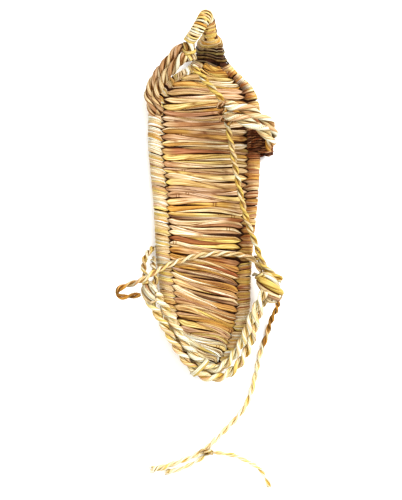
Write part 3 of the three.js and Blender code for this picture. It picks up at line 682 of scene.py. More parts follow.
def grain_group():
    """Straw grain: long fibres, blotches, node marks and painted shade at the flanks, from a
    straw's UV map and attributes.
    """
    kept = bpy.data.node_groups.get("Straw grain")
    if kept:
        return kept
    group = bpy.data.node_groups.new("Straw grain", "ShaderNodeTree")
    for name in ("Fibres", "Stain", "Contrast", "Outline", "Nodes"):
        group.interface.new_socket(name, in_out="INPUT", socket_type="NodeSocketFloat")
    for name, kind in (("Shade", "NodeSocketColor"), ("Stain", "NodeSocketFloat"),
                       ("Height", "NodeSocketFloat")):
        group.interface.new_socket(name, in_out="OUTPUT", socket_type=kind)
    given = group.nodes.new("NodeGroupInput").outputs

    def number(operation, *values, clamp=False):
        return new_node(group, "ShaderNodeMath", dict(enumerate(values)), operation=operation,
                        use_clamp=clamp)[0]

    def times(a, b):
        return number("MULTIPLY", a, b)

    def vector(*values):
        return new_node(group, "ShaderNodeCombineXYZ", dict(enumerate(values)))[0]

    def noise(place, detail):
        return new_node(group, "ShaderNodeTexNoise",
                        {"Vector": place, "Scale": 1.0, "Detail": detail})["Fac"]

    uv = new_node(group, "ShaderNodeUVMap", uv_map="Grain")[0]
    seed = new_node(group, "ShaderNodeAttribute", attribute_name="Straw")["Fac"]
    reach = new_node(group, "ShaderNodeAttribute", attribute_name="Reach")["Fac"]
    centimetres = times(reach, 100.0)
    round_it = times(new_node(group, "ShaderNodeSeparateXYZ", {0: uv})["Y"], FULL_TURN)
    up = number("SINE", round_it)
    girth_x = times(number("COSINE", round_it), given["Fibres"])
    girth_y = times(up, given["Fibres"])
    slow, quick = (number("ADD", times(centimetres, speed), seed) for speed in (0.45, 1.1))
    fibres = noise(vector(slow, girth_x, girth_y), 3.0)
    blotch = noise(vector(quick, times(girth_x, 0.13), seed), 4.0)
    contrast = times(times(number("SUBTRACT", fibres, 0.5), given["Contrast"]), 4.0)
    shade = number("MAXIMUM", number("ADD", contrast, 1.0), 0.05)
    # Painted shade: a straw is darker at its flanks, where the next one lies against it.
    flank_shade = new_node(group, "ShaderNodeMapRange",
                     {"Value": up, "From Min": 0.05, "From Max": 0.82, "To Min": 1.0,
                      "To Max": 0.0}, interpolation_type="SMOOTHSTEP")["Result"]
    shade = times(shade, number("SUBTRACT", 1.0, times(flank_shade, given["Outline"])))
    # Some straws show a node: two thin rings, 11 cm from one node to the next.
    joint = number("FRACT", number("ADD", times(centimetres, 0.09), seed))
    away = number("ABSOLUTE", number("SUBTRACT", joint, 0.5))
    near = number("ABSOLUTE", number("SUBTRACT", away, 0.009))
    some = number("LESS_THAN", number("FRACT", times(seed, 7.3)), 0.3)
    ring = times(times(number("LESS_THAN", near, 0.0035), given["Nodes"]), some)
    shade = times(shade, number("SUBTRACT", 1.0, ring))
    warm = vector(shade, number("POWER", shade, 1.45), number("POWER", shade, 2.3))
    stain = number("MULTIPLY", number("SUBTRACT", blotch, 0.56), 6.0, clamp=True)
    fill(group, group.nodes.new("NodeGroupOutput"),
         {"Shade": warm, "Stain": times(stain, given["Stain"]), "Height": fibres})
    return group


def new_material(name):
    """A material with its tree and its Principled node."""
    material = bpy.data.materials.new(name)
    material.use_nodes = True
    return material, material.node_tree, material.node_tree.nodes["Principled BSDF"]


def straw_material(name, roughness, bump, **grain_values):
    """Straw whose tint comes from each straw, with fibres and stains over it."""
    material, tree, surface = new_material(name)
    grain = new_node(tree, "ShaderNodeGroup", node_tree=grain_group())
    fill(tree, grain[0].node, {key.capitalize(): value for key, value in grain_values.items()})
    tint = new_node(tree, "ShaderNodeAttribute", attribute_name="Tint")["Color"]
    lit = new_node(tree, "ShaderNodeVectorMath", {0: tint, 1: grain["Shade"]},
                   operation="MULTIPLY")[0]
    worn = new_node(tree, "ShaderNodeMix", data_type="RGBA", blend_type="MULTIPLY")["Result"]
    fill(tree, worn.node, {"Factor": grain["Stain"], "A": lit, "B": (0.42, 0.24, 0.11, 1.0)})
    rough = new_node(tree, "ShaderNodeMapRange",
                     {"Value": grain["Height"], "To Min": roughness - 0.12,
                      "To Max": roughness + 0.2})["Result"]
    raised = new_node(tree, "ShaderNodeBump", {"Height": grain["Height"], "Strength": bump,
                                               "Distance": 0.25 * MM})["Normal"]
    fill(tree, surface, {"Base Color": worn, "Roughness": rough, "Normal": raised,
                         "Specular IOR Level": 0.35})
    return material


def core_material():
    """Painted shade: straw deep inside the weave, coloured dark."""
    material, tree, surface = new_material("Deep straw shade")
    place = new_node(tree, "ShaderNodeTexCoord")["Object"]
    place = new_node(tree, "ShaderNodeMapping",
                     {"Vector": place, "Scale": (60.0, 900.0, 500.0)})["Vector"]
    streaks = new_node(tree, "ShaderNodeTexNoise", {"Vector": place, "Detail": 4.0})["Fac"]
    shade = new_node(tree, "ShaderNodeValToRGB", {"Fac": streaks})["Color"]
    low, high = shade.node.color_ramp.elements
    low.color = (*colours().dark, 1.0)
    high.color = (*(0.6 * np.array(colours().brown)), 1.0)
    fill(tree, surface, {"Base Color": shade, "Roughness": 0.9})
    return material


# Fibres round a straw, stains, contrast of the grain, painted shade at its flanks (outline), node
# marks, and the surface.
FINISHES = {
    "Weave straw": dict(fibres=5.0, stain=0.9, contrast=1.0, outline=0.95, nodes=0.5,
                        roughness=0.5, bump=0.8),
    "Border straw": dict(fibres=4.0, stain=0.7, contrast=0.85, outline=0.8, nodes=0.0,
                         roughness=0.5, bump=0.7),
    "Rope straw": dict(fibres=3.0, stain=0.25, contrast=0.5, outline=0.6, nodes=0.0,
                       roughness=0.5, bump=0.6),
    "Strap straw": dict(fibres=3.0, stain=0.3, contrast=0.5, outline=0.65, nodes=0.0,
                        roughness=0.5, bump=0.6),
    "Cord straw": dict(fibres=2.5, stain=0.15, contrast=0.2, outline=0.4, nodes=0.0,
                       roughness=0.55, bump=0.5),
}


# Pieces of the sole

FIELD_EDGE = 0.36     # path value where the field meets the roll
FIELD_TOP = 0.985     # share of the sole's length where the field's rows end, at the horn
BORDER_START = 0.335  # path value where a border straw comes out of the field
BORDER_END = 0.86     # path value where it goes into the underside
BORDER_TOP = 0.975    # share of the sole's length where the border's rows end
HORN_FOOT = 0.968     # station where the horn's binding starts
UNDERSIDE = (0.79, 1.21)          # path values of the underside's rows
POINT_SHADE = (0.55, 0.36, 0.2)   # what a straw's thin end keeps of its colour
KEPT = {}


def sole_surface():
    """The sole's surface, made once."""
    if "surface" not in KEPT:
        KEPT["surface"] = SoleSurface()
    return KEPT["surface"]


def sole_rows():
    """The number of rows of straw along the sole and half of one row's share of its length."""
    rows = round(sizes().sole_length / sizes().row_pitch)
    return rows, sizes().sole_length / rows / 2


def centres_of(parts):
    """Where a row's straws lie across it, -0.5 to 0.5, from their shares of its width."""
    return np.cumsum(parts, axis=0) - parts / 2 - 0.5


def slant_at(along):
    """How far a row of straws drops from the field's middle to its right edge, as a share of the
    sole's length."""
    return np.interp(along, (0.0, 0.08, 0.3, 0.4, 0.5, 0.6, 0.75, 0.86, 0.94, 1.0),
                     (0.014, 0.026, 0.03, 0.017, 0.009, 0.003, 0.0, -0.006, 0.002, 0.009))


def row_shares(count, share, rng):
    """How a row's width is split between its straws at each step along it: each straw is wide at
    one end of the row and tapers to a point on its way to the other."""
    heavy_left = rng.random(count) < 0.5
    heavy_left[0] = not heavy_left[-1]
    parts = []
    for left in heavy_left:
        bulge = rng.uniform(0.6, 1.3) * (1 + 0.3 * ripple(share, (3, 8), rng))
        start, stop = rng.uniform(0.05, 0.4), rng.uniform(0.68, 1.05)
        along = share if left else 1 - share
        parts.append(bulge * (1 - smooth_step((along - start) / (stop - start))) ** 0.8)
    parts = np.maximum(np.array(parts), 0.0)
    return parts / np.maximum(parts.sum(axis=0), 0.05)


def field_straws(rng, under=False):
    """Straws of the field, or of the underside, row by row."""
    rows, half_row = sole_rows()
    surface = sole_surface()
    length = sizes().sole_length
    share = np.linspace(0, 1, 34)
    edge = np.minimum(share, 1 - share)
    dive = np.clip(edge / 0.06, 0, 1) ** 0.7
    straws = []
    for row in range(rows):
        along = (row + 0.5) / rows
        if along > FIELD_TOP and not under:
            continue
        tooth = rng.uniform(0.015, 0.05)
        start, end = UNDERSIDE if under else (-FIELD_EDGE - tooth, FIELD_EDGE + tooth)
        path = start + (end - start) * share
        height = half_row * np.clip(edge / rng.uniform(0.08, 0.15), 0.02, 1)
        wave = 0.1 * ripple(share, (4, 9), rng) + 0.2 * np.sin(share * 5.5 + row * 0.7)
        wave *= np.clip(edge * 6, 0, 1) / rows
        base = along - slant_at(along) * (path - (1.0 if under else 0.0)) / FIELD_EDGE + wave
        fine = (along < 0.36 or along > 0.92) and not under
        count = rng.choice((3, 4, 5)) if fine else rng.choice((2, 3, 4), p=(0.3, 0.5, 0.2))
        parts = row_shares(count, share, rng)
        for part, offset in zip(parts, centres_of(parts)):
            station = base + offset * 2 * height / length
            width = np.maximum(part * height * 1.12, 0.08 * MM)
            depth = np.clip(width * 0.6, 0.15 * MM, 0.9 * MM)
            thin = np.clip(part / 0.15, 0, 1)
            lift = (-1.3 + 1.15 * dive * (0.5 + 0.5 * thin) + rng.uniform(-0.12, 0.25)) * MM
            lift += 0.5 * MM * np.cos(offset * math.pi) * dive - depth * 0.5
            if under:
                lift -= 1.0 * MM
            at, normal = surface.at(np.clip(station, 0.002, 1.002), path, lift)
            side = 2 * (part * share).sum() / max(part.sum(), 1e-6) - 1
            pair = pick_tints(field_weights(side, along), 2, rng, spread=0.14)
            tint = two_tone(pair, 1.2 * ripple(share, (2, 7), rng), 0.6)
            point = smooth_step((0.35 - part) / 0.35)[:, None] * rng.uniform(0.1, 0.7)
            # Painted shade: the underside's straws keep 0.85 of their tint.
            tint = tint * (1 - point * (1 - np.array(POINT_SHADE))) * (0.85 if under else 1.0)
            tint = paint_shade_at_ends(tint, share, tips=0.05, floor=0.3) * crease_shade(station)[:, None]
            straws.append((at, normal, width, depth, tint))
    return batch_of(*zip(*straws), rng)


def paint_shade_at_ends(tints, share, tips, floor):
    """Painted shade: darkens straws where they dive between their neighbours at both ends."""
    keep = floor + (1 - floor) * np.clip(np.minimum(share, 1 - share) / tips, 0, 1)[..., None]
    return tints * keep + np.array(colours().dark) * (1 - keep) * 0.6


def crease_shade(station):
    """Darkens the crease where the sole's front turns up into the horn."""
    return 1 - 0.72 * np.exp(-((np.asarray(station) - 0.998) / 0.02) ** 2)


def border_straws(rng):
    """Straws that come out of the field's edge, go over the roll and into the underside."""
    rows, half_row = sole_rows()
    surface = sole_surface()
    length = sizes().sole_length
    brown = np.array(colours().brown)
    share = np.linspace(0, 1, 20)
    ends = np.clip(share / 0.12, 0, 1) ** 0.6 * np.clip((1 - share) / 0.1, 0, 1) ** 0.6
    tuck = 0.75 * MM * smooth_step((share - 0.5) / 0.3)
    straws = []
    for side in (-1, 1):
        for row in range(rows + 1):
            along = row / rows
            if along > BORDER_TOP:
                continue
            stretch = edge_stretch(side, along)
            start = BORDER_START - rng.uniform(0.0, 0.035)
            path = side * (start + (BORDER_END - start) * share)
            height = half_row * np.clip((share + 0.01) / rng.uniform(0.16, 0.26), 0.03, 1)
            lean = border_lean(side, along) * np.clip(share / 0.6, 0, 1) + rng.uniform(-0.1, 0.1)
            shift = -side * slant_at(along) * (1 - smooth_step((along - 0.94) / 0.05))
            base = (row + lean + 0.1 * ripple(share, 5, rng)) / rows + shift
            count = rng.choice((4, 5))
            parts = rng.uniform(0.5, 1.4, count)[:, None] * (1 + 0.2 * np.sin(
                share[None] * 5 + rng.uniform(0, 6, count)[:, None]))
            parts = parts / parts.sum(axis=0)
            for part, offset in zip(parts, centres_of(parts)):
                station = base + offset * 2 * height / length
                width = np.maximum(part * height * 1.15 * stretch, 0.12 * MM)
                depth = np.clip(width * 0.6, 0.12 * MM, 0.7 * MM)
                lift = (-1.35 + 1.3 * ends + rng.uniform(-0.1, 0.15)) * MM - depth * 0.5 - tuck
                lift += 0.15 * MM * np.cos(offset * math.pi) * ends
                at, normal = surface.at(np.clip(station, 0.002, 0.99 + 0.006 * share), path, lift)
                pair = pick_tints(border_weights(side, along), 2, rng)
                tint = two_tone(pair, ripple(share, (3, 7), rng), 0.35)
                # Painted shade, with some of the straw's own brown: the inner half, by the field,
                # is drawn towards brown.
                stain = smooth_step((0.5 - share) / 0.25)[:, None]
                stain = stain * inner_brown_and_shade(side, along) * rng.uniform(0.5, 1)
                tint = tint * (1 - stain) + brown * rng.uniform(0.5, 1.6) * stain
                tint = paint_shade_at_ends(tint, share, tips=0.07, floor=0.25)
                tint = tint * crease_shade(station)[:, None]
                straws.append((at, normal, width, depth, tint))
    return batch_of(*zip(*straws), rng)


def heel_end_straws(rng, count=7, steps=9):
    """Upright straws side by side over the sole's narrow back end."""
    (top, bottom), _ = sole_surface().at(np.full(2, 0.003), np.array((0.0, 1.0)), 0.0)
    top = top + np.array((0, 0, 2.4)) * MM
    share = np.linspace(0, 1, steps)[:, None]
    middles = []
    for offset in np.linspace(-3.4, 3.4, count):
        inward = 0.06 * offset ** 2 + 0.5 - 1.4 * np.sin(share * math.pi) ** 0.6
        line = bottom * (1 - share) + top * share + np.array((offset, 0.0, 0.0)) * MM
        line[:, 1:2] += inward * MM
        middles.append(line)
    tints = pick_tints(border_weights(-1, 0.0), count, rng)
    normals = np.broadcast_to((0.0, -1.0, 0.0), (count, steps, 3))
    return batch_of(middles, normals, 0.65 * MM, 0.5 * MM, tints, rng)


def edge_stretch(side, along):
    """How much longer the sole's edge is than the same stretch of its middle line."""
    run = 0.02 * sizes().sole_length
    slope = (half_width(side, along + 0.01) - half_width(side, along - 0.01)) / run
    return float(min(np.hypot(1.0, slope), 1.6) * np.interp(along, (0.74, 0.8), (1.0, 1.15)))


def border_lean(side, along):
    """How many rows a border straw climbs on its way out: it stands square to the sole's edge."""
    if side < 0:
        return float(np.interp(along, (0.8, 0.87, 0.93, 0.99), (0.7, 1.4, 1.4, 0.3)))
    return float(np.interp(along, (0.8, 0.88, 0.94, 0.99), (0.15, 1.2, 1.2, 0.2)))


def inner_brown_and_shade(side, along):
    """How brown the border's inner half is, partly the straw's own brown and partly painted shade
    where it meets the field: the right one is, from the strap up to the horn.
    """
    if side < 0:
        return float(np.interp(along, (0.9, 0.97, 1.0), (0.05, 0.05, 0.2)))
    return float(np.interp(along, (0.18, 0.24, 0.36, 0.44, 0.66, 0.8, 0.86, 0.96, 1.0),
                           (0.02, 0.3, 0.4, 0.45, 0.6, 0.5, 0.95, 0.9, 0.6)))


def border_weights(side, along):
    if side > 0 and 0.685 < along < 0.745:
        return {"brown": 5, "rust": 3, "tan": 2}
    if side > 0 and along > 0.8:
        return {"cream": 4, "yellow": 5, "ochre": 2, "white": 2}
    if side > 0 and along < 0.23:
        return {"cream": 5, "yellow": 3, "ochre": 3, "white": 2, "beige": 2}
    if side > 0 and along < 0.42:
        return {"ochre": 5, "rust": 1.5, "tan": 1.5, "yellow": 3, "cream": 2}
    if along > 0.86:
        return {"yellow": 3, "ochre": 1, "beige": 2, "white": 2, "cream": 5}
    if side > 0:
        return {"ochre": 4, "rust": 2.5, "yellow": 2, "cream": 2, "beige": 2, "tan": 2}
    return {"cream": 6, "yellow": 3, "beige": 3, "ochre": 1.5, "white": 3, "tan": 0.4}


def horn_straws(rng, turns=46):
    """Straws bound round the horn, from its foot to the apex."""
    surface = sole_surface()
    share = np.linspace(0, 1, 40)
    straws = []
    for turn in range(turns):
        station = HORN_FOOT + 1.017 * (turn + 0.5) / turns
        path = 0.75 + rng.uniform(-0.12, 0.12) + 2.08 * share
        lean = -0.012 * np.sin(path * math.pi) + (share - 0.5) * rng.uniform(-0.02, 0.02)
        width = rng.uniform(0.55, 1.0) * MM * (1 + 0.2 * ripple(share, 12, rng))
        lift = (-0.55 + 0.35 * np.sin(share * math.pi) ** 0.2 + rng.uniform(-0.1, 0.2)) * MM
        at, normal = surface.at(np.clip(station + lean, HORN_FOOT, 1.99), path, lift)
        pair = pick_tints({"yellow": 6, "ochre": 5, "cream": 3, "beige": 1, "tan": 1}, 2, rng)
        tint = two_tone(pair, ripple(share, 14, rng), 0.4) * crease_shade(1 + (station - 1) * 0.12)
        straws.append((at, normal, width, width * 0.55, tint))
    return batch_of(*zip(*straws), rng)


# Ropes

ROPE_STEP = 1.25 * MM
RIGHT_LAY = -FULL_TURN                              # plies turn this way round a rope
PLY_SHARE = {2: 0.5, 3: 0.46, 4: 0.41, 5: 0.37}     # a ply's radius as a share of the rope's
PALE = {"white": 7, "cream": 3, "yellow": 2}
WHITISH = {"white": 8, "cream": 2, "beige": 1}
CREAMY = {"cream": 4, "white": 5, "yellow": 3, "beige": 0.7}
YELLOWISH = {"yellow": 5, "cream": 4, "white": 2}
PINKISH = {"beige": 6, "cream": 4, "white": 1.5, "tan": 1.5}
DARKISH = {"brown": 5, "rust": 2, "tan": 3, "beige": 1}
# Painted shade in the groove between two plies: what it keeps of the straw's colour.
GROOVE_SHADE = (0.6, 0.42, 0.23)
CLEAN_GROOVE_SHADE = (0.8, 0.66, 0.46)
PALE_GROOVE_SHADE = (0.95, 0.87, 0.68)


def rope_straws(path, radius, weights, rng, plies=2, straws=4, pitch=None, frayed=(0.0, 0.0),
                mouth=(0.0, 0.0), slack=0.12, stained=0.0, shade=GROOVE_SHADE, bright=1.0):
    """The straws of a twisted rope: plies turn round each other, straws lie round each ply. frayed
    is the length over which each end opens into a brush, mouth the length over which it narrows,
    stained the length at the start that is stained, bright how much lighter the rest is."""
    pitch = pitch or sizes().ply_pitch
    length = path_lengths(path)[-1]
    count = max(int(length / ROPE_STEP), 12)
    line = even_path(path, count)
    tangents, normals, binormals = frames_along(line)
    along = np.linspace(0, length, count)
    turns = along / pitch
    from_ends = (along, length - along)
    open_ends = [(distance, fray) for distance, fray in zip(from_ends, frayed) if fray]
    ochre = np.array(colours().ochre)
    squeeze = np.ones(count)
    for distance, narrow in zip(from_ends, mouth):
        if narrow:
            squeeze *= 0.45 + 0.55 * smooth_step(distance / narrow)
    open_up = np.zeros(count)
    for distance, fray in open_ends:
        open_up += np.clip(1 - distance / fray, 0, 1) ** 1.5
    laid = []
    for ply in range(plies):
        ply_radius = radius * PLY_SHARE[plies] * (1 + 0.07 * ripple(turns, 2.3, rng)) * squeeze
        centre, out = around(line, (radius * (1 - PLY_SHARE[plies]) * squeeze)[:, None],
                             RIGHT_LAY * turns + FULL_TURN * ply / plies, normals, binormals)
        round_it = np.cross(tangents, out)
        for straw in range(straws):
            turn = FULL_TURN * (straw + rng.uniform(-0.12, 0.12)) / straws + RIGHT_LAY * turns / 2.6
            # Painted shade: straws where they turn into the groove between plies are darkened.
            clear_of_groove_shade = smooth_step((np.cos(turn) + 0.6) / 0.6)[:, None]
            off = ply_radius * (0.52 + 0.05 * ripple(turns, 4, rng))
            spread = open_up * radius * rng.uniform(0.2, 1.5)
            middle, way = around(centre, (off + spread)[:, None], turn, out, round_it)
            cut = np.ones(count)
            for distance, fray in open_ends:
                cut *= np.clip((distance - rng.uniform(0, 0.5) ** 2 * fray) / (0.25 * fray), 0.2, 1)
            width = ply_radius * 2.9 / straws * (1 + slack * ripple(turns, (2, 6), rng)) * cut
            pair = [pick_tints(weights, 1, rng, spread=0.07)[0] for _ in range(2)]
            tint = bright * two_tone(pair, 0.9 * ripple(turns, (0.5, 1.6), rng))
            if stained:
                clean = (along - stained * rng.uniform(0.5, 1.1)) / (0.35 * stained)
                clean = smooth_step(clean)[:, None]
                tint = tint * clean + ochre * rng.uniform(0.2, 0.75) * (1 - clean)
            laid.append((middle, way, width, ply_radius * 0.5 * cut,
                         tint * (clear_of_groove_shade + (1 - clear_of_groove_shade) * np.array(shade))))
    return batch_of(*zip(*laid), rng)


def lay_rope(name, batches, node=None, finish="Rope straw", sides=6):
    """One piece from the straws of ropes, in the place of a solid where it has one."""
    piece = lay_straws(name, batches, finish, sides)
    if node:
        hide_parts(node)
    return piece


def heel_ropes():
    """Paths of the outer and the inner heel rope."""
    s = sizes()
    rows = np.array(HEEL_PAIR)
    pair = np.array([place(a, b, c * s.ear_height / MM) for a, b, c, _ in rows])
    tangents = unit(np.gradient(smooth_path(pair), axis=0))[::PATH_STEPS]
    inward = unit(np.stack([-tangents[:, 1], tangents[:, 0], np.zeros(len(pair))], axis=1))
    lean = np.radians(rows[:, 3])[:, None]
    offset = inward * np.cos(lean) + np.array([0, 0, 1.0]) * np.sin(lean)
    offset *= s.heel_rope + HALF_GAP
    return smooth_path(pair - offset), smooth_path(pair + offset)


def lashing_straws(outer, rng):
    """Flat straws side by side over both heel ropes."""
    s = sizes()
    at = part_of_path(outer, 0.405, 0.425, 3)
    tangent = unit(at[2] - at[0])
    inward = unit(np.array([-tangent[1], tangent[0], 0.0]))
    middle = at[1] + inward * (s.heel_rope + HALF_GAP)
    path = smooth_path([middle + s.heel_rope * (across * inward + np.array([0, 0, up]))
                        for across, up in LASHING])
    spokes = path - path.mean(axis=0)
    along = unit(np.cross(spokes[0], spokes[len(spokes) // 4]))
    wander = np.sin(np.linspace(0, FULL_TURN, len(path)))[:, None] * 0.9 * MM * along
    middles = [path + wander + along * offset for offset in np.array((-1.25, 0.0, 1.2)) * MM]
    tints = pick_tints(CREAMY, 3, rng)
    return batch_of(middles, [unit(spokes)] * 3, 0.75 * MM, 0.6 * MM, tints, rng)


def ring_straws(line, radius, pitch, width, weights, rng, depth, start=0.0):
    """A flat straw wound round a line in close turns."""
    turns = max(path_lengths(line)[-1] / pitch, 1.0)
    count = int(turns * RING_STEPS)
    fine = even_path(line, count)
    _, normals, binormals = frames_along(fine)
    angle = start + np.linspace(0, turns * FULL_TURN, count)
    share = np.linspace(0, 1, count)
    radii = np.interp(share, np.linspace(0, 1, len(radius)), radius)[:, None]
    middles, out = around(fine, radii, angle, normals, binormals)
    pair = [pick_tints(weights, 1, rng)[0] for _ in range(2)]
    tints = two_tone(pair, np.sin(angle * 0.31 + start))
    return batch_of([middles], [out], width, depth, [tints], rng)


def strap_paths(rows, across, pitch):
    """Paths of the two ropes that lie side by side in a strap."""
    middle = route(rows)
    share = np.linspace(0, 1, len(middle))
    knots = np.linspace(0, 1, len(rows))
    width = np.interp(share, knots, [row[3] for row in rows])[:, None]
    ways = np.stack([np.interp(share, knots, [way[k] for way in across]) for k in range(3)], axis=1)
    tangents = unit(np.gradient(middle, axis=0))
    ways = unit(ways - tangents * (ways * tangents).sum(-1, keepdims=True))
    return [middle + ways * (offset * pitch * width) for offset in (-0.5, 0.5)]


def bight(lace, share, rng):
    """One turn of the right strap's end round the lace."""
    held = part_of_path(lace, share - 0.012, share + 0.012, 40)
    _, normals, binormals = frames_along(held)
    turn, _ = around(held, sizes().lace + 1.8 * MM, np.linspace(-0.3, FULL_TURN + 0.3, 40), normals,
                     binormals)
    return rope_straws(turn, 2.0 * MM, {"cream": 2, "beige": 4, "ochre": 2, "tan": 2}, rng,
                       pitch=14 * MM)


# Operators

class Step:
    """A step of the build, with the sizes and its own random numbers at hand."""
    draws = 0

    def execute(self, context):
        s = sizes()
        self.build(s, np.random.default_rng(s.seed + self.draws))
        return {"FINISHED"}


class SANDAL_OT_sole_core(Step, bpy.types.Operator):
    """Make the inside of the weave, coloured dark as painted shade: the sole's own solid, drawn in
    by a depth
    """
    bl_idname = "sandal.sole_core"
    bl_label = "Sole core"

    def build(self, s, rng, depth=1.25 * MM):
        bm = bmesh.new()
        bm.from_mesh(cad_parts["sole"].data)
        bmesh.ops.remove_doubles(bm, verts=bm.verts, dist=1e-6)
        bmesh.ops.recalc_face_normals(bm, faces=bm.faces)
        bm.normal_update()
        for vert in bm.verts:
            vert.co -= vert.normal * depth
        for face in bm.faces:
            face.smooth = True
        core = new_object("sole_core", mesh_of(bm, "sole_core"))
        core.data.materials.append(core_material())
        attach(core, BODY)
        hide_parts("sole")


class SANDAL_OT_weave(Step, bpy.types.Operator):
    """Lay the straws of the field, the border, the heel's end, the underside and the horn"""
    bl_idname = "sandal.weave"
    bl_label = "Weave"

    def build(self, s, rng):
        pieces = (
            ("field_straws", field_straws, "Weave straw"),
            ("border_straws", border_straws, "Border straw"),
            ("heel_end_straws", heel_end_straws, "Border straw"),
            ("underside_straws", lambda drawn: field_straws(drawn, under=True), "Weave straw"),
            ("horn_straws", horn_straws, "Border straw"),
        )
        for number, (name, make, finish) in enumerate(pieces):
            lay_straws(name, [make(np.random.default_rng(s.seed + number))], finish, sides=8)


class SANDAL_OT_peak(Step, bpy.types.Operator):
    """Bind the rope that runs back from the horn's apex"""
    bl_idname = "sandal.peak"
    bl_label = "Peak rope"
    draws = 10

    def build(self, s, rng):
        line = part_of_path(nose_path(), APEX_SHARE - 0.03, 1.0, 40)
        radius = np.linspace(s.peak, s.peak * 0.8, 8) - 0.75 * MM
        weights = {"white": 1, "cream": 4, "yellow": 5, "ochre": 0.7}
        wraps = [ring_straws(line, radius, 5.6 * MM, width * MM, weights, rng, 0.6 * MM, start)
                 for start, width in ((0.0, 1.0), (1.9, 0.85), (3.9, 0.75))]
        core = rope_straws(line, s.peak - 1.0 * MM, CREAMY, rng)
        lay_rope("peak_wraps", [core], "toe_peak", sides=8)
        lay_rope("peak_binding", wraps, sides=10)


class SANDAL_OT_straps(Step, bpy.types.Operator):
    """Lay the ropes of both toe straps and the knot at the toe"""
    bl_idname = "sandal.straps"
    bl_label = "Toe straps"
    draws = 20

    def build(self, s, rng):
        left = [rope_straws(path, 3.8 * MM, PINKISH, rng, plies=3, straws=3, pitch=28 * MM,
                            mouth=(4 * MM, 6 * MM))
                for path in strap_paths(STRAP_LEFT, LEFT_WAYS, 7.2 * MM)]
        end = nose_path()[-1]
        knot = smooth_path([end, end + np.array((0.7, -3.55, -0.8)) * MM,
                            place(-0.335, 0.985, 39.0), place(-0.3, 0.958, 37.6)])
        left.append(rope_straws(knot, 4.3 * MM, PALE, rng, plies=4, straws=3, pitch=60 * MM))
        lay_rope("strap_left_ropes", left, "strap_left", "Strap straw")
        turns = ring_straws(part_of_path(knot, 0.35, 0.6, 20), np.array([4.4, 4.3]) * MM, 3.0 * MM,
                            1.3 * MM, CREAMY, rng, 0.7 * MM)
        lay_rope("toe_knot_turns", [turns], None, "Strap straw", sides=8)
        right = [rope_straws(path, 4.3 * MM, WHITISH, rng, pitch=36 * MM, mouth=(6 * MM, 5 * MM),
                             stained=stain * MM, shade=CLEAN_GROOVE_SHADE, bright=1.08)
                 for path, stain in zip(strap_paths(STRAP_RIGHT, RIGHT_WAYS, 7.8 * MM), (24, 17))]
        right += [bight(route(TOE_LACE), share, rng) for share in BIGHTS]
        lay_rope("strap_right_ropes", right, "strap_right", "Strap straw", sides=8)
        foot = [rope_straws(route([(across, along + drift, up) for across, up, drift in FOOT_TURN]),
                            1.9 * MM, DARKISH, rng, pitch=15 * MM)
                for along in np.linspace(0.702, 0.756, 8)]
        lay_rope("strap_right_foot", foot, None, "Strap straw")


class SANDAL_OT_lace(Step, bpy.types.Operator):
    """Twist the toe lace"""
    bl_idname = "sandal.lace"
    bl_label = "Toe lace"
    draws = 30

    def build(self, s, rng):
        rope = rope_straws(route(TOE_LACE), s.lace * 1.15, YELLOWISH, rng, straws=3, pitch=18 * MM,
                           shade=CLEAN_GROOVE_SHADE)
        lay_rope("lace_rope", [rope], "toe_lace", "Cord straw")


class SANDAL_OT_heel(Step, bpy.types.Operator):
    """Twist the two heel ropes and tie them down at the heel"""
    bl_idname = "sandal.heel"
    bl_label = "Heel ropes"
    draws = 40

    def build(self, s, rng):
        outer, inner = heel_ropes()
        for name, path, weights, node in (("heel_outer", outer, CREAMY, "heel_rope_outer"),
                                          ("heel_inner", inner, PALE, "heel_rope_inner")):
            rope = rope_straws(path, s.heel_rope * ROUNDER, weights, rng, straws=5, pitch=20 * MM,
                               shade=PALE_GROOVE_SHADE, bright=1.17)
            lay_rope(name, [rope], node)
        lay_rope("heel_tie", [lashing_straws(outer, rng)], "heel_lashing", sides=8)


class SANDAL_OT_side_loops(Step, bpy.types.Operator):
    """Twist the side loops and wind the bindings"""
    bl_idname = "sandal.side_loops"
    bl_label = "Side loops and bindings"
    draws = 50

    def build(self, s, rng):
        for name, rows, node in (("loop_left", EAR_LEFT, "ear_left"),
                                 ("loop_right", EAR_RIGHT, "ear_right")):
            rope = rope_straws(tucked(route(rows), 3 * MM), s.ear_rope * ROUNDER, CREAMY, rng,
                               pitch=14 * MM, mouth=(3 * MM, 3 * MM))
            lay_rope(name, [rope], node)
        for name, rows, radius, node in (
                ("binding_left_turns", BINDING_LEFT, s.binding, "binding_left"),
                ("binding_right_turns", BINDING_RIGHT, s.binding * 1.2, "binding_right")):
            line = even_path(route(rows), 40)
            swell = radius * (0.72 + 0.28 * np.sin(np.linspace(0, math.pi, 20))) - 0.5 * MM
            strands = rope_straws(line, radius * 0.98, {**CREAMY, "tan": 1.2, "brown": 0.5}, rng,
                                  plies=5, pitch=52 * MM, mouth=(5 * MM, 5 * MM), slack=0.3)
            filling = rope_straws(line, radius * 0.66, DARKISH, rng, plies=3, pitch=40 * MM,
                                  mouth=(7 * MM, 7 * MM))
            turns = [ring_straws(part_of_path(line, start, start + 0.16, 12), swell[-4:] * 0.9,
                                 2.6 * MM, 1.2 * MM, CREAMY, rng, 0.6 * MM, start)
                     for start in (0.06, 0.76)]
            lay_rope(name, [strands, filling, *turns], node, sides=8)


class SANDAL_OT_cross_cord(Step, bpy.types.Operator):
    """Twist the cord that crosses the field, from its stained left end"""
    bl_idname = "sandal.cross_cord"
    bl_label = "Cross cord"
    draws = 60

    def build(self, s, rng):
        rope = rope_straws(route(CROSS_CORD)[::-1], s.cross_cord * 1.12, CREAMY, rng, pitch=18 * MM,
                           stained=34 * MM, shade=CLEAN_GROOVE_SHADE, bright=1.1)
        lay_rope("cross_rope", [rope], "cross_cord", "Cord straw")


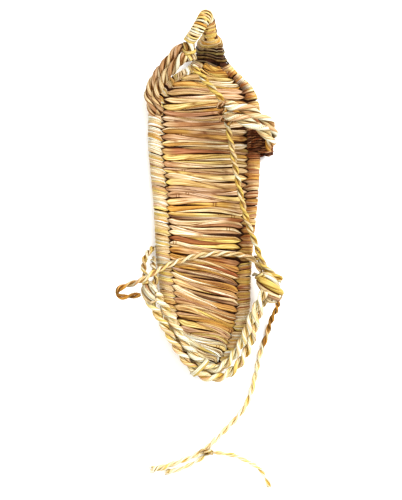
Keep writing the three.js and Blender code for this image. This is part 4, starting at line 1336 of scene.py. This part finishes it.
class SANDAL_OT_tie_cords(Step, bpy.types.Operator):
    """Lay the free tie cord, its knot, its second cord and its short end"""
    bl_idname = "sandal.tie_cords"
    bl_label = "Tie cords"
    draws = 70

    def build(self, s, rng):
        knot = self.knot(rng)
        cords = (
            ("tie_rope", TIE_ROUTE, s.tie_cord, "tie_cord", 14 * MM, 42 * MM, [knot]),
            ("second_rope", SECOND_ROUTE, s.tie_cord * 0.8, "tie_cord_second", 6 * MM, 0, []),
            ("tail_rope", TAIL_ROUTE, s.tail_cord, "tie_tail", 12 * MM, 0, []),
        )
        for name, points, radius, node, fray, stained, carried in cords:
            path = smooth_path(np.array(points) * MM)
            rope = rope_straws(path, radius, PALE, rng, pitch=19 * MM, frayed=(0, fray),
                               stained=stained, shade=PALE_GROOVE_SHADE, bright=1.4)
            piece = lay_rope(name, [rope], node, "Cord straw")

    def knot(self, rng):
        """Turns of cord round the meeting of the cords."""
        turn = np.linspace(0, FULL_TURN * 1.6, 40)
        path = np.stack([1.8 + 4.0 * np.cos(turn), -190.9 + 1.6 * np.sin(turn * 0.9),
                         3.8 + 2.2 * np.sin(turn)], axis=1) * MM
        rope = rope_straws(path, 1.7 * MM, YELLOWISH, rng, pitch=11 * MM)
        return lay_rope("tie_knot_turns", [rope], "tie_knot", "Cord straw")


class SANDAL_OT_stage(Step, bpy.types.Operator):
    """Set the camera, the floor and the lights"""
    bl_idname = "sandal.stage"
    bl_label = "Stage"

    def build(self, s, rng):
        scene = bpy.context.scene
        self.camera(scene)
        self.floor()
        self.lights(scene)

    def camera(self, scene):
        camera = new_object("Camera", bpy.data.cameras.new("Camera"))
        camera.data.lens = 61.5
        camera.data.sensor_width = 36.0
        eye = Vector((-0.070, -0.035, 0.650))
        aim = Vector((-0.003, -0.037, 0.010))
        back = (eye - aim).normalized()
        right = Vector((0, 1, 0)).cross(back).normalized()
        turned = Matrix((right, back.cross(right), back)).transposed().to_4x4()
        camera.matrix_world = Matrix.Translation(eye) @ turned
        scene.camera = camera

    def floor(self):
        bm = bmesh.new()
        bmesh.ops.create_grid(bm, x_segments=1, y_segments=1, size=3.0)
        floor = new_object("floor", mesh_of(bm, "floor"))
        material, tree, surface = new_material("Ground")
        fill(tree, surface, {"Base Color": (*colours().ground, 1.0), "Roughness": 0.9})
        floor.data.materials.append(material)

    def lights(self, scene):
        scene.world = bpy.data.worlds.new("Studio")
        scene.world.use_nodes = True
        tree = scene.world.node_tree
        fill(tree, tree.nodes["Background"], {"Color": (1.0, 1.0, 1.0, 1.0), "Strength": 0.85})
        for name, eye, size, watts in (("Key", (0.5, 0.4, 0.9), 0.7, 11.0),
                                       ("Fill", (-0.6, -0.2, 1.0), 0.9, 2.0)):
            light = new_object(name, bpy.data.lights.new(name, "AREA"))
            light.data.size = size
            light.data.energy = watts
            light.location = eye
            light.rotation_euler = (-Vector(eye)).to_track_quat("-Z", "Y").to_euler()
        scene.view_settings.view_transform = "Standard"
        scene.view_settings.look = "High Contrast"


class SANDAL_PT_panel(bpy.types.Panel):
    """Sizes, colours and steps of the sandal"""
    bl_label = "Straw Sandal"
    bl_idname = "SANDAL_PT_panel"
    bl_space_type = "VIEW_3D"
    bl_region_type = "UI"
    bl_category = "Sandal"

    def draw(self, context):
        for group in (context.scene.sandal_sizes, context.scene.sandal_colours):
            box = self.layout.box()
            for name in group.__annotations__:
                box.prop(group, name)
        for step in STEPS_IN_ORDER:
            self.layout.operator(step.bl_idname)


STEPS_IN_ORDER = (
    SANDAL_OT_stage,
    SANDAL_OT_tie_cords,
    SANDAL_OT_sole_core,
    SANDAL_OT_weave,
    SANDAL_OT_peak,
    SANDAL_OT_straps,
    SANDAL_OT_lace,
    SANDAL_OT_heel,
    SANDAL_OT_side_loops,
    SANDAL_OT_cross_cord,
)
CLASSES = (SandalSizes, SandalColours, *STEPS_IN_ORDER, SANDAL_PT_panel)


def register():
    for cls in CLASSES:
        bpy.utils.register_class(cls)
    bpy.types.Scene.sandal_sizes = PointerProperty(type=SandalSizes)
    bpy.types.Scene.sandal_colours = PointerProperty(type=SandalColours)


def unregister():
    del bpy.types.Scene.sandal_colours
    del bpy.types.Scene.sandal_sizes
    for cls in reversed(CLASSES):
        bpy.utils.unregister_class(cls)


def main():
    register()
    for step in STEPS_IN_ORDER:
        family, name = step.bl_idname.split(".")
        getattr(getattr(bpy.ops, family), name)()


if __name__ == "__main__":
    main()
